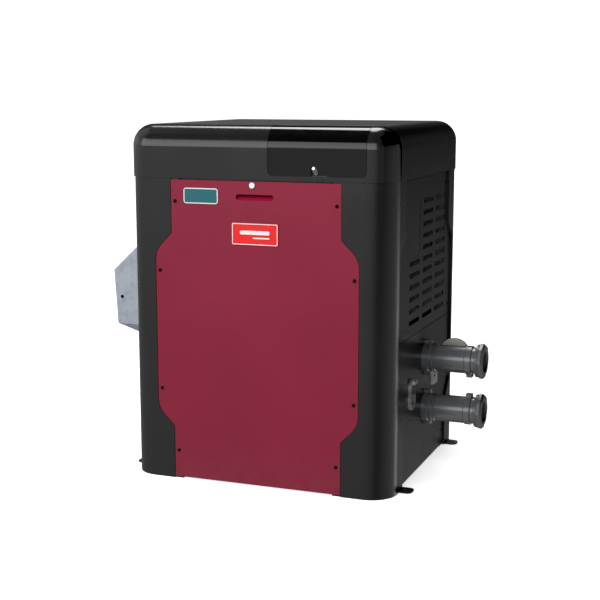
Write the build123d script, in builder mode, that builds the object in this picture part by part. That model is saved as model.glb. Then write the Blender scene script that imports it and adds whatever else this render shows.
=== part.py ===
from build123d import *
import os

# Outdoor gas heater for a swimming pool, in separate parts.
# Millimetres. +X is the water side, +Y is the back, +Z is up.
# The origin is the centre of the cabinet's footprint, on the floor.

os.makedirs("parts", exist_ok=True)

# Cabinet
WIDTH = 620
DEPTH = 580
HEIGHT = 800
LID_SEAM = 684
CORNER = 60
POST_WALL = 10.5
POST_SKIN = 4
POST_TOP = LID_SEAM - 0.4

# Openings between the corner posts: narrow at the two ends, wide in the middle
LOW_STEP = 122
HIGH_STEP = 562
STEP_RADIUS = 48
FRONT_HALF_END = 199.5
FRONT_HALF_MIDDLE = 239.3
SIDE_HALF_END = 187
SIDE_HALF_MIDDLE = 228
PANEL_LIP = 20
PANEL_GAP = 1.2
PANEL_BOTTOM = 4
PANEL_TOP = 681
FRONT_RECESS = 0.5
FRONT_SHEET = 2
SIDE_RECESS = 5.5
SIDE_SHEET = 1.5
FRONT_FACE = -DEPTH / 2 + FRONT_RECESS
SIDE_FACE = WIDTH / 2 - SIDE_RECESS

# Lid and control cover
LID_OVERHANG = 2
LID_WALL = 4
LID_EDGE_RADIUS = 47
LID_FRONT = DEPTH / 2 + LID_OVERHANG
COVER_LEFT = 33
COVER_RIGHT = 253
COVER_BOTTOM = 695
COVER_CORNER = 12
COVER_WALL = 3.5
COVER_BACK = -167
COVER_OPENING_BACK = -157.5
HINGE_Y = -162
HINGE_Z = 796
HINGE_BARREL = 3.6
HINGE_PIN = 1.5
HINGE_BORE = 1.56
PANEL_DROP = 14
KEYPAD_Z = HEIGHT - PANEL_DROP
KEYPAD_SHEET = 3
DISPLAY_X = 100
DISPLAY_Y = -206
BUTTON_X = 205
BUTTON_RADIUS = 7
LATCH_X = 137
LATCH_Z = 711.5

# Water side
PIPE_Y = 9
UPPER_PIPE_Z = 260
LOWER_PIPE_Z = 141.8
PIPE_RADIUS = 31
PIPE_BORE = 25
SOCKET_RADIUS = 24.2
STUB_START = 287
STUB_BOLT = 37
HEADER_FACE = 285
NUT_START = 428
NUT_END = 447
NUT_RADIUS = 42.4
BYPASS_X = 358
RELIEF_Y = -110
BONNET_Z = 214
OUTLET_Z = 184
LEVER_PIN_X = 313.5
LEVER_PIN_Z = 226.5

# Fire side
CHAMBER_LEFT = -225
CHAMBER_RIGHT = 215
CHAMBER_FRONT = -130
CHAMBER_BACK = 240
TRAY_Z = 60
CHAMBER_Z = 150
EXCHANGER_Z = 336
COLLECTOR_Z = 404
COLLECTOR_TOP = 434
SHEET = 2
BURNER_Z = 122
BURNER_COUNT = 8
BURNER_PITCH = 48
MANIFOLD_Y = -188
VALVE_Z = 200
GAS_PORT_X = -322
TUBE_COUNT = 7
TUBE_PITCH = 50
TUBE_Y = 55
TUBE_Z = 369
TUBE_RADIUS = 9
BLOWER_X = -20
BLOWER_Y = 40
BLOWER_Z = 436
BLOWER_TOP = 496
BLOWER_RADIUS = 100

# Exhaust hood
HOOD_HALF = 156
HOOD_TOP = 558
HOOD_SHOULDER = (-420.5, 451)
HOOD_HEEL = (-412.5, 321.5)
HOOD_BOTTOM = 279

# Floor fixings
ANCHOR_X = 321
ANCHOR_FRONT_Y = -199
ANCHOR_REAR_Y = 209
ANCHOR_HOLE = 4.5
ANCHOR_WIDTH = 36


def save(builder, name):
    builder.part.label = name
    export_step(builder.part, f"parts/{name}.step")


def front_plane(y):
    """Upright plane at depth y whose local axes are X and Z; it faces the front."""
    return Plane.XZ.offset(-y)


def side_plane(x):
    """Upright plane at x whose local axes are Y and Z; it faces the water side."""
    return Plane.YZ.offset(x)


def opening_outline(half_end, half_middle, bottom, top):
    """Outline of an opening between two posts, wider between the two steps."""
    step = half_middle - half_end
    with BuildSketch() as outline:
        with BuildLine():
            right = Polyline(
                (0, bottom),
                (half_end, bottom),
                (half_end, LOW_STEP),
                (half_middle, LOW_STEP + step),
                (half_middle, HIGH_STEP - step),
                (half_end, HIGH_STEP),
                (half_end, top),
                (0, top),
            )
            mirror(right, about=Plane.YZ)
        make_face()
        bulges = outline.vertices().filter_by(lambda v: abs(abs(v.X) - half_middle) < 0.1)
        fillet(bulges, STEP_RADIUS)
    return outline.sketch


front_opening = opening_outline(FRONT_HALF_END, FRONT_HALF_MIDDLE, -50, 750)
side_opening = opening_outline(SIDE_HALF_END, SIDE_HALF_MIDDLE, -50, 750)


def shell_ring(outer, inner, bottom, top):
    """Upright ring that follows the cabinet's plan, between two insets."""
    with BuildPart() as ring:
        with BuildSketch(Plane.XY.offset(bottom)):
            RectangleRounded(WIDTH - 2 * outer, DEPTH - 2 * outer, CORNER - outer)
            RectangleRounded(WIDTH - 2 * inner, DEPTH - 2 * inner, CORNER - inner, mode=Mode.SUBTRACT)
        extrude(amount=top - bottom)
    return ring.part


def post_pocket():
    """Hollow behind the posts' outer skin, clear of the edges the panels screw to."""
    with BuildPart() as pocket:
        add(shell_ring(POST_SKIN, POST_WALL + 0.5, POST_SKIN, POST_TOP - POST_SKIN))
        with BuildSketch(Plane.XZ):
            offset(front_opening, amount=10)
        extrude(amount=DEPTH, both=True, mode=Mode.SUBTRACT)
        with BuildSketch(Plane.YZ):
            offset(side_opening, amount=10)
        extrude(amount=WIDTH, both=True, mode=Mode.SUBTRACT)
    return pocket.part


def corner_post(name, side, end, pocket):
    """Corner moulding; side is 1 for the water side, end is 1 for the back."""
    anchor_y = ANCHOR_REAR_Y if end > 0 else ANCHOR_FRONT_Y
    ring = shell_ring(0, POST_WALL, 0, POST_TOP)
    with BuildPart() as post:
        add(ring)
        with BuildSketch():
            with Locations((side * WIDTH / 4, end * DEPTH / 4)):
                Rectangle(WIDTH / 2, DEPTH / 2)
        extrude(amount=HEIGHT, mode=Mode.INTERSECT)
        with BuildSketch(front_plane(end * DEPTH / 2)):
            add(front_opening)
        extrude(amount=end * (FRONT_RECESS + FRONT_SHEET + 0.3), mode=Mode.SUBTRACT)
        with BuildSketch(front_plane(end * DEPTH / 2)):
            offset(front_opening, amount=-PANEL_LIP)
        extrude(amount=end * 40, mode=Mode.SUBTRACT)
        with BuildSketch(side_plane(side * WIDTH / 2)):
            add(side_opening)
        extrude(amount=-side * (SIDE_RECESS + SIDE_SHEET + 0.3), mode=Mode.SUBTRACT)
        with BuildSketch(side_plane(side * WIDTH / 2)):
            offset(side_opening, amount=-PANEL_LIP)
        extrude(amount=-side * 40, mode=Mode.SUBTRACT)
        add(pocket, mode=Mode.SUBTRACT)
        with BuildSketch():
            with Locations((side * WIDTH / 2, anchor_y)):
                Rectangle(60, ANCHOR_WIDTH + 2)
        extrude(amount=3.4, mode=Mode.SUBTRACT)
        for x, z in front_screw_places():
            with BuildSketch(front_plane(end * DEPTH / 2)):
                with Locations((x, z)):
                    Circle(2.05)
            extrude(amount=end * 30, mode=Mode.SUBTRACT)
        for y, z in side_screw_places():
            with BuildSketch(side_plane(side * WIDTH / 2)):
                with Locations((y, z)):
                    Circle(2.05)
            extrude(amount=-side * 30, mode=Mode.SUBTRACT)
    save(post, name)


def front_screw_places():
    """Screws that hold the front and back panels, as (x, z)."""
    places = [(188.6, 633.6), (228.4, 477.7), (228.4, 208), (188.6, 65.8)]
    return places + [(-x, z) for x, z in places]


def side_screw_places():
    """Screws that hold the side panels, as (y, z)."""
    places = [(176, 655), (217, 352), (217, 310), (176, 40)]
    return places + [(-y, z) for y, z in places]


def panel_screw(z_head, length):
    """Pan-head screw in its own frame: the head's underside is at z_head."""
    with BuildPart() as screw:
        with BuildSketch(Plane.XY.offset(z_head)):
            Circle(4)
        extrude(amount=2)
        fillet(screw.edges().group_by(Axis.Z)[-1], 1.2)
        with BuildSketch(Plane.XY.offset(z_head + 2)):
            Rectangle(4.4, 0.9)
            Rectangle(0.9, 4.4)
        extrude(amount=-1, mode=Mode.SUBTRACT)
        with BuildSketch(Plane.XY.offset(z_head)):
            Circle(2)
        extrude(amount=-length)
    return screw.part


def base_pan():
    with BuildPart() as pan:
        with BuildSketch():
            RectangleRounded(WIDTH - 22.4, DEPTH - 22.4, CORNER - 11.2)
        extrude(amount=32)
        with BuildSketch(Plane.XY.offset(3)):
            RectangleRounded(WIDTH - 26.4, DEPTH - 26.4, CORNER - 13.2)
        extrude(amount=40, mode=Mode.SUBTRACT)
        with BuildSketch():
            for side in (-1, 1):
                for y in (ANCHOR_FRONT_Y, ANCHOR_REAR_Y):
                    with Locations((side * 291, y)):
                        Rectangle(22, ANCHOR_WIDTH + 1)
        extrude(amount=3.4, mode=Mode.SUBTRACT)
        with BuildSketch():
            with GridLocations(300, 240, 2, 2):
                SlotOverall(60, 14)
        extrude(amount=3, mode=Mode.SUBTRACT)
    save(pan, "base_pan")


def anchor_brackets():
    """Joggled straps that lie on the pad and reach out past the posts."""
    with BuildPart() as brackets:
        for side in (-1, 1):
            for y in (ANCHOR_FRONT_Y, ANCHOR_REAR_Y):
                with BuildSketch():
                    with Locations((side * 311, y)):
                        Rectangle(54, ANCHOR_WIDTH)
                strap = extrude(amount=3)
                tips = strap.edges().filter_by(Axis.Z).group_by(Axis.X)[-1 if side > 0 else 0]
                fillet(tips, 12)
                with BuildSketch():
                    with Locations((side * 285.5, y)):
                        Rectangle(3, ANCHOR_WIDTH)
                extrude(amount=6.1)
                with BuildSketch(Plane.XY.offset(3.1)):
                    with Locations((side * 274, y)):
                        Rectangle(24, ANCHOR_WIDTH)
                extrude(amount=3)
                with BuildSketch():
                    with Locations((side * ANCHOR_X, y)):
                        Circle(ANCHOR_HOLE)
                extrude(amount=3, mode=Mode.SUBTRACT)
    save(brackets, "anchor_brackets")


def panel_plate(outline, bottom, top, plane, thickness):
    """Sheet that fills an opening with an even gap; extruded along the plane's normal."""
    with BuildPart() as plate:
        with BuildSketch(plane):
            offset(outline, amount=-PANEL_GAP)
            with Locations((0, (bottom + top) / 2)):
                Rectangle(600, top - bottom, mode=Mode.INTERSECT)
        extrude(amount=thickness)
    return plate.part


def front_panel():
    plate = panel_plate(front_opening, PANEL_BOTTOM, PANEL_TOP, front_plane(FRONT_FACE), -FRONT_SHEET)
    with BuildPart() as panel:
        add(plate)
        for z in (PANEL_BOTTOM + FRONT_SHEET / 2, PANEL_TOP - FRONT_SHEET / 2):
            with BuildSketch(front_plane(FRONT_FACE)):
                with Locations((0, z)):
                    Rectangle(350, FRONT_SHEET)
            extrude(amount=-10)
        # Finger scoop with a sloping floor
        with BuildSketch(side_plane(-47)):
            with BuildLine():
                Polyline(
                    (FRONT_FACE + 1, 635),
                    (FRONT_FACE + 15, 654.5),
                    (FRONT_FACE + 1, 654.5),
                    close=True,
                )
            make_face()
        extrude(amount=96)
        with BuildSketch(side_plane(-50)):
            with BuildLine():
                Polyline(
                    (FRONT_FACE - 1, 638.5),
                    (FRONT_FACE + 12, 652.5),
                    (FRONT_FACE - 1, 652.5),
                    close=True,
                )
            make_face()
        wedge = extrude(amount=102, mode=Mode.PRIVATE)
        with BuildSketch(front_plane(FRONT_FACE - 5)) as mouth:
            with Locations((1, 646)):
                SlotOverall(88, 13)
        slot = extrude(mouth.sketch, amount=-30, mode=Mode.PRIVATE)
        add(wedge & slot, mode=Mode.SUBTRACT)
        for x, z in front_screw_places():
            with BuildSketch(front_plane(FRONT_FACE)):
                with Locations((x, z)):
                    Circle(2.3)
            extrude(amount=-FRONT_SHEET, mode=Mode.SUBTRACT)
        with BuildSketch(front_plane(FRONT_FACE)):
            with Locations((-4, 672)):
                Circle(3.7)
        extrude(amount=-FRONT_SHEET, mode=Mode.SUBTRACT)
    save(panel, "front_panel")


def front_panel_screws():
    screw = panel_screw(0.05, 11)
    with BuildPart() as screws:
        for x, z in front_screw_places():
            face = Plane(origin=(x, FRONT_FACE, z), x_dir=(1, 0, 0), z_dir=(0, -1, 0))
            with Locations(face):
                add(screw)
    save(screws, "front_panel_screws")


def door_fastener():
    """Quarter-turn fastener at the top of the front panel."""
    with BuildPart() as fastener:
        with BuildSketch(front_plane(FRONT_FACE - 0.05)):
            with Locations((-4, 672)):
                Circle(6.5)
        extrude(amount=3.2)
        fillet(fastener.edges().group_by(Axis.Y)[0], 2)
        with BuildSketch(front_plane(FRONT_FACE - 4)):
            with Locations((-4, 672)):
                Rectangle(8.5, 1.6)
        extrude(amount=-1.9, mode=Mode.SUBTRACT)
        with BuildSketch(front_plane(FRONT_FACE - 0.05)):
            with Locations((-4, 672)):
                Circle(3.6)
        extrude(amount=-15)
        with BuildSketch(front_plane(FRONT_FACE + 11)):
            with Locations((-4, 672)):
                Rectangle(12, 3)
        extrude(amount=-3)
    save(fastener, "door_fastener")


def name_plates():
    """Blank plates on the front panel; they carry no lettering."""
    with BuildPart() as badge:
        with BuildSketch(front_plane(FRONT_FACE - 0.05)):
            with Locations((2, 567)):
                RectangleRounded(108, 48, 4)
        extrude(amount=2)
        with BuildSketch(front_plane(FRONT_FACE - 2.05)):
            with Locations((2, 567)):
                RectangleRounded(103, 43, 2.5)
        extrude(amount=-0.6, mode=Mode.SUBTRACT)
    save(badge, "badge_plate")
    with BuildPart() as trim:
        with BuildSketch(front_plane(FRONT_FACE - 0.05)):
            with Locations((-126, 646.5)):
                RectangleRounded(82, 34, 6)
        extrude(amount=1.2)
        with BuildSketch(front_plane(FRONT_FACE - 1.25)):
            with Locations((-126, 646.5)):
                RectangleRounded(74, 26, 3)
        extrude(amount=-0.4, mode=Mode.SUBTRACT)
    save(trim, "trim_plate")


def right_panels():
    seam = 330
    upper = panel_plate(side_opening, seam + 1, PANEL_TOP, side_plane(SIDE_FACE), -SIDE_SHEET)
    with BuildPart() as vent:
        add(upper)
        with BuildSketch(side_plane(SIDE_FACE)):
            for row in range(11):
                z = 627 - 26.5 * row
                columns = (17.5, 127.5) if row < 5 else (-92, 17.5, 127.5)
                with Locations(*[(y, z) for y in columns]):
                    RectangleRounded(83, 11, 3)
        extrude(amount=-SIDE_SHEET, mode=Mode.SUBTRACT)
        with BuildSketch(side_plane(SIDE_FACE)):
            with Locations((-92, 573)):
                RectangleRounded(84, 132, 20)
        extrude(amount=-0.4, mode=Mode.SUBTRACT)
        cut_screw_holes(side_plane(SIDE_FACE), side_screw_places())
    save(vent, "side_panel_right_upper")

    lower = panel_plate(side_opening, PANEL_BOTTOM, seam - 1, side_plane(SIDE_FACE), -SIDE_SHEET)
    for name, start, end in (("front", -300, PIPE_Y - 0.4), ("rear", PIPE_Y + 0.4, 300)):
        with BuildPart() as half:
            add(lower)
            with BuildSketch(side_plane(SIDE_FACE)):
                with Locations(((start + end) / 2, 200)):
                    Rectangle(end - start, 500)
            extrude(amount=-SIDE_SHEET, mode=Mode.INTERSECT)
            with BuildSketch(side_plane(SIDE_FACE)):
                for z in (UPPER_PIPE_Z, LOWER_PIPE_Z):
                    with Locations((PIPE_Y, z)):
                        Circle(34.6)
                    with Locations((PIPE_Y, z + STUB_BOLT), (PIPE_Y, z - STUB_BOLT)):
                        Circle(3.2)
                with Locations((RELIEF_Y, BONNET_Z)):
                    Circle(21)
                with Locations((RELIEF_Y, OUTLET_Z)):
                    Circle(23)
            extrude(amount=-SIDE_SHEET, mode=Mode.SUBTRACT)
            cut_screw_holes(side_plane(SIDE_FACE), side_screw_places())
        save(half, f"side_panel_right_lower_{name}")


def cut_screw_holes(plane, places):
    """Clearance holes through the sheet behind a plane on either side of it."""
    with BuildSketch(plane) as holes:
        with Locations(*places):
            Circle(2.3)
    extrude(holes.sketch, amount=5, both=True, mode=Mode.SUBTRACT)


def left_panel():
    plate = panel_plate(side_opening, PANEL_BOTTOM, PANEL_TOP, side_plane(-SIDE_FACE), SIDE_SHEET)
    with BuildPart() as panel:
        add(plate)
        with BuildSketch(side_plane(-SIDE_FACE)):
            with Locations((BLOWER_Y + 65, BLOWER_Z + 30)):
                Rectangle(76, 66)
            with Locations((MANIFOLD_Y, VALVE_Z)):
                Circle(17)
            with Locations(*hood_screw_places()):
                Circle(2.05)
            with Locations((-150, 110), (-100, 110)):
                Circle(11)
            with GridLocations(100, 20, 3, 4):
                with Locations((60, 110)):
                    RectangleRounded(83, 9, 3)
        extrude(amount=SIDE_SHEET, mode=Mode.SUBTRACT)
        cut_screw_holes(side_plane(-SIDE_FACE), side_screw_places())
    save(panel, "side_panel_left")


def rear_panel():
    plate = panel_plate(front_opening, PANEL_BOTTOM, PANEL_TOP, front_plane(-FRONT_FACE), FRONT_SHEET)
    with BuildPart() as panel:
        add(plate)
        with BuildSketch(front_plane(-FRONT_FACE)):
            with Locations((0, 200)):
                with GridLocations(120, 26.5, 3, 6):
                    RectangleRounded(83, 11, 3)
        extrude(amount=FRONT_SHEET, mode=Mode.SUBTRACT)
        cut_screw_holes(front_plane(-FRONT_FACE), front_screw_places())
    save(panel, "rear_panel")


def hood_screw_places():
    """Screws through the hood's flange into the left panel, as (y, z)."""
    edge = HOOD_HALF + 9
    return [(-edge, 540), (edge, 540), (-edge, 430), (edge, 430), (-edge, 335), (edge, 335)]


def cabinet_screws():
    """Screws of the side panels, the back panel and the exhaust hood."""
    screw = panel_screw(0.05, 9)
    with BuildPart() as screws:
        for y, z in side_screw_places():
            with Locations(Plane(origin=(SIDE_FACE, y, z), x_dir=(0, 1, 0), z_dir=(1, 0, 0))):
                add(screw)
            with Locations(Plane(origin=(-SIDE_FACE, y, z), x_dir=(0, 1, 0), z_dir=(-1, 0, 0))):
                add(screw)
        for x, z in front_screw_places():
            with Locations(Plane(origin=(x, -FRONT_FACE, z), x_dir=(1, 0, 0), z_dir=(0, 1, 0))):
                add(screw)
        for y, z in hood_screw_places():
            with Locations(Plane(origin=(-SIDE_FACE - 2.2, y, z), x_dir=(0, 1, 0), z_dir=(-1, 0, 0))):
                add(screw)
        for end in (-1, 1):
            with Locations(Plane(origin=(-400, end * HOOD_HALF, 387), x_dir=(1, 0, 0), z_dir=(0, end, 0))):
                add(screw)
    save(screws, "cabinet_screws")


def lid_block(inset):
    """Solid with the lid's outer form, moved in by an inset."""
    with BuildPart() as block:
        with BuildSketch(Plane.XY.offset(LID_SEAM)):
            RectangleRounded(
                WIDTH + 2 * (LID_OVERHANG - inset),
                DEPTH + 2 * (LID_OVERHANG - inset),
                CORNER - inset,
            )
        extrude(amount=HEIGHT - LID_SEAM - inset)
        top = block.faces().sort_by(Axis.Z)[-1]
        fillet(top.edges(), LID_EDGE_RADIUS - inset)
    return block.part


def cover_region(outer, inner, grow, back):
    """Band of the lid's skin in the control cover's area, grown on its sides."""
    outer_block = lid_block(outer)
    inner_block = lid_block(inner)
    width = COVER_RIGHT - COVER_LEFT + 2 * grow
    with BuildPart() as region:
        add(outer_block)
        add(inner_block, mode=Mode.SUBTRACT)
        with BuildSketch(front_plane(back)):
            with Locations(((COVER_LEFT + COVER_RIGHT) / 2, COVER_BOTTOM - grow + 100)):
                RectangleRounded(width, 200, COVER_CORNER + grow)
        extrude(amount=300, mode=Mode.INTERSECT)
    return region.part


def hinge_barrel(start, end, edge):
    """Hinge knuckle from x = start to x = end, with a web out to the plate at y = edge."""
    with BuildSketch(side_plane(start)) as knuckle:
        with Locations((HINGE_Y, HINGE_Z)):
            Circle(HINGE_BARREL)
        with Locations(((HINGE_Y + edge) / 2, HINGE_Z + 1.6)):
            Rectangle(abs(edge - HINGE_Y), 3)
    extrude(knuckle.sketch, amount=end - start)
    with BuildSketch(side_plane(start)) as bore:
        with Locations((HINGE_Y, HINGE_Z)):
            Circle(HINGE_BORE)
    extrude(bore.sketch, amount=end - start, mode=Mode.SUBTRACT)


def lid():
    outer = lid_block(0)
    inner = lid_block(LID_WALL)
    opening = cover_region(-1, LID_WALL + 2, 1, COVER_OPENING_BACK)
    # Ledge that sits on the posts, with a skirt that drops inside them
    ledge = shell_ring(1, POST_WALL + 2.5, LID_SEAM, LID_SEAM + 1.6)
    skirt = shell_ring(POST_WALL + 0.5, POST_WALL + 2.5, LID_SEAM - 4, LID_SEAM + 1.6)
    with BuildPart() as shell:
        add(outer)
        add(inner, mode=Mode.SUBTRACT)
        add(opening, mode=Mode.SUBTRACT)
        add(ledge)
        add(skirt)
        hinge_barrel(96, 190, COVER_OPENING_BACK + 1)
    save(shell, "lid")


def latch_notch():
    """Arched notch in the cover's lower edge where the latch swings."""
    with BuildSketch() as notch:
        with BuildLine():
            Line((130.5, COVER_BOTTOM - 3), (130.5, 711))
            ThreePointArc((130.5, 711), (133.5, 717), (140, 719))
            ThreePointArc((140, 719), (157, 711.5), (168, COVER_BOTTOM - 3))
            Line((168, COVER_BOTTOM - 3), (130.5, COVER_BOTTOM - 3))
        make_face()
    return notch.sketch


def control_cover():
    skin = cover_region(0, COVER_WALL, 0, COVER_BACK)
    notch = latch_notch()
    with BuildPart() as cover:
        add(skin)
        with BuildSketch(front_plane(-LID_FRONT)):
            add(notch)
        extrude(amount=-COVER_WALL, mode=Mode.SUBTRACT)
        with BuildSketch(front_plane(-LID_FRONT + COVER_WALL)):
            with Locations((149, 710)):
                RectangleRounded(44, 26, 4)
        extrude(amount=-2)
        with BuildSketch(front_plane(-LID_FRONT + COVER_WALL)):
            with Locations((LATCH_X, LATCH_Z)):
                Circle(2.05)
        extrude(amount=-2, mode=Mode.SUBTRACT)
        hinge_barrel(54, 94, COVER_BACK - 1)
        hinge_barrel(192, 232, COVER_BACK - 1)
    save(cover, "control_cover")


def cover_fittings():
    with BuildPart() as pin:
        with BuildSketch(side_plane(52)):
            with Locations((HINGE_Y, HINGE_Z)):
                Circle(HINGE_PIN)
        extrude(amount=182)
    save(pin, "cover_hinge_pin")
    with BuildPart() as latch:
        with BuildSketch(front_plane(-LID_FRONT + COVER_WALL - 0.4)):
            SlotCenterPoint((LATCH_X + 2.5, LATCH_Z - 4.75), (LATCH_X + 5, LATCH_Z - 9.5), 10)
        extrude(amount=2.4)
        fillet(latch.edges().group_by(Axis.Y)[0], 0.6)
        with BuildSketch(front_plane(-LID_FRONT)):
            with Locations((LATCH_X, LATCH_Z)):
                Circle(2.1)
        extrude(amount=-6, mode=Mode.SUBTRACT)
    save(latch, "cover_latch")
    with BuildPart() as rivet:
        with BuildSketch(front_plane(-LID_FRONT + COVER_WALL + 2)):
            with Locations((LATCH_X, LATCH_Z)):
                Circle(2)
        extrude(amount=5)
        with BuildSketch(front_plane(-LID_FRONT + COVER_WALL - 3)):
            with Locations((LATCH_X, LATCH_Z)):
                Circle(3.4)
        extrude(amount=1.4)
        fillet(rivet.edges().group_by(Axis.Y)[0], 0.9)
    save(rivet, "cover_latch_rivet")


def button_places():
    """Keypad buttons, as name and depth along the row."""
    return [("button_mode", -228), ("button_up", -204), ("button_down", -180)]


def control_panel():
    frame = cover_region(LID_WALL + 0.4, PANEL_DROP + KEYPAD_SHEET, 9, -148)
    recess = cover_region(0, PANEL_DROP, -2, -156)
    with BuildPart() as panel:
        add(frame)
        add(recess, mode=Mode.SUBTRACT)
        with BuildSketch(Plane.XY.offset(KEYPAD_Z)):
            with Locations((DISPLAY_X, DISPLAY_Y)):
                RectangleRounded(96.4, 52.4, 3)
        extrude(amount=-1.6, mode=Mode.SUBTRACT)
        with BuildSketch(Plane.XY.offset(KEYPAD_Z)):
            with Locations((DISPLAY_X, DISPLAY_Y)):
                Rectangle(88, 44)
        extrude(amount=-6, mode=Mode.SUBTRACT)
        with BuildSketch(Plane.XY.offset(KEYPAD_Z)):
            for name, y in button_places():
                with Locations((BUTTON_X, y)):
                    Circle(BUTTON_RADIUS + 0.3)
        extrude(amount=-6, mode=Mode.SUBTRACT)
        with BuildSketch(Plane.XY.offset(KEYPAD_Z - KEYPAD_SHEET)):
            with Locations((46, -236), (46, -176), (236, -236), (236, -176)):
                Circle(3)
        extrude(amount=-11.3)
    save(panel, "control_panel")


def keypad():
    with BuildPart() as glass:
        with BuildSketch(Plane.XY.offset(KEYPAD_Z - 1.5)):
            with Locations((DISPLAY_X, DISPLAY_Y)):
                RectangleRounded(96, 52, 2.8)
        extrude(amount=1.7)
    save(glass, "display_glass")
    for name, y in button_places():
        with BuildPart() as button:
            with BuildSketch(Plane.XY.offset(KEYPAD_Z - 5)):
                with Locations((BUTTON_X, y)):
                    Circle(BUTTON_RADIUS)
            extrude(amount=7.8)
            fillet(button.edges().group_by(Axis.Z)[-1], 1.2)
            with BuildSketch(Plane.XY.offset(KEYPAD_Z - 5)):
                with Locations((BUTTON_X, y)):
                    Circle(BUTTON_RADIUS + 1.8)
            extrude(amount=1.6)
        save(button, name)
    with BuildPart() as board:
        with BuildSketch(Plane.XY.offset(769.9)):
            with Locations((141, -206)):
                Rectangle(202, 72)
        extrude(amount=1.6)
        with BuildSketch(Plane.XY.offset(771.5)):
            for name, y in button_places():
                with Locations((BUTTON_X, y)):
                    Rectangle(7, 7)
        extrude(amount=7.6)
        with BuildSketch(Plane.XY.offset(771.5)):
            with Locations((DISPLAY_X, DISPLAY_Y)):
                Rectangle(86, 42)
        extrude(amount=10.5)
        with BuildSketch(Plane.XY.offset(769.9)):
            with Locations((80, -206), (130, -225)):
                Rectangle(24, 18)
            with Locations((185, -206)):
                Circle(9)
        extrude(amount=-14)
    save(board, "control_board")


def box_wall(left, right, front, back, bottom, top, wall):
    """Four upright walls of a box; sizes are outside sizes."""
    with BuildSketch(Plane.XY.offset(bottom)) as walls:
        with Locations(((left + right) / 2, (front + back) / 2)):
            Rectangle(right - left, back - front)
            Rectangle(right - left - 2 * wall, back - front - 2 * wall, mode=Mode.SUBTRACT)
    extrude(walls.sketch, amount=top - bottom)


def burner_x_places():
    first = -BURNER_PITCH * (BURNER_COUNT - 1) / 2 - 5
    return [first + BURNER_PITCH * index for index in range(BURNER_COUNT)]


def fire_box():
    with BuildPart() as chamber:
        box_wall(
            CHAMBER_LEFT, CHAMBER_RIGHT, CHAMBER_FRONT, CHAMBER_BACK, CHAMBER_Z, EXCHANGER_Z - 0.4, SHEET
        )
        with BuildSketch(front_plane(CHAMBER_FRONT)):
            with Locations((60, 172)):
                Circle(8)
        extrude(amount=-SHEET, mode=Mode.SUBTRACT)
    save(chamber, "combustion_chamber")
    edge = SHEET + 0.3
    with BuildPart() as lining:
        box_wall(
            CHAMBER_LEFT + edge,
            CHAMBER_RIGHT - edge,
            CHAMBER_FRONT + edge,
            CHAMBER_BACK - edge,
            CHAMBER_Z + 2,
            EXCHANGER_Z - 3,
            22,
        )
        with BuildSketch(front_plane(CHAMBER_FRONT)):
            with Locations((60, 172)):
                Circle(8)
        extrude(amount=-30, mode=Mode.SUBTRACT)
    save(lining, "chamber_insulation")
    with BuildPart() as tray:
        box_wall(CHAMBER_LEFT, CHAMBER_RIGHT, CHAMBER_FRONT, CHAMBER_BACK, TRAY_Z, CHAMBER_Z - 0.3, SHEET)
        with BuildSketch(Plane.XY.offset(TRAY_Z)):
            with Locations(((CHAMBER_LEFT + CHAMBER_RIGHT) / 2, (CHAMBER_FRONT + CHAMBER_BACK) / 2)):
                Rectangle(CHAMBER_RIGHT - CHAMBER_LEFT, CHAMBER_BACK - CHAMBER_FRONT)
                with GridLocations(96, 110, 4, 3):
                    SlotOverall(60, 20, mode=Mode.SUBTRACT)
        extrude(amount=SHEET)
        with BuildSketch(front_plane(CHAMBER_FRONT)):
            for x in burner_x_places():
                with Locations((x, BURNER_Z)):
                    Circle(11.4)
        extrude(amount=-SHEET, mode=Mode.SUBTRACT)
        # Feet that stand on the base pan
        with BuildSketch(Plane.XY.offset(3.2)):
            for x in (CHAMBER_LEFT + 15, CHAMBER_RIGHT - 15):
                with Locations((x, (CHAMBER_FRONT + CHAMBER_BACK) / 2)):
                    Rectangle(30, 340)
                    Rectangle(26, 340, mode=Mode.SUBTRACT)
        extrude(amount=TRAY_Z - 3.2)
    save(tray, "burner_tray")


def burner_tubes():
    with BuildPart() as burners:
        for x in burner_x_places():
            plane = Plane(origin=(x, 0, BURNER_Z), x_dir=(1, 0, 0), z_dir=(0, 0, 1))
            with BuildSketch(plane) as half:
                with BuildLine():
                    Polyline(
                        (15, -146),
                        (11, -136),
                        (11, -124),
                        (12.5, -110),
                        (12.5, 225),
                        (11.3, 225),
                        (11.3, -110),
                        (9.8, -124),
                        (9.8, -136),
                        (13.8, -146),
                        close=True,
                    )
                make_face()
            revolve(half.sketch, axis=Axis((x, 0, BURNER_Z), (0, 1, 0)))
            with BuildSketch(front_plane(223)):
                with Locations((x, BURNER_Z)):
                    Circle(12)
            extrude(amount=-1.5)
            with BuildSketch(Plane.XY.offset(BURNER_Z + 2)):
                with Locations((x, 50)):
                    with GridLocations(1, 20, 1, 15):
                        Rectangle(12, 3)
            extrude(amount=20, mode=Mode.SUBTRACT)
    save(burners, "burner_tubes")


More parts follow.
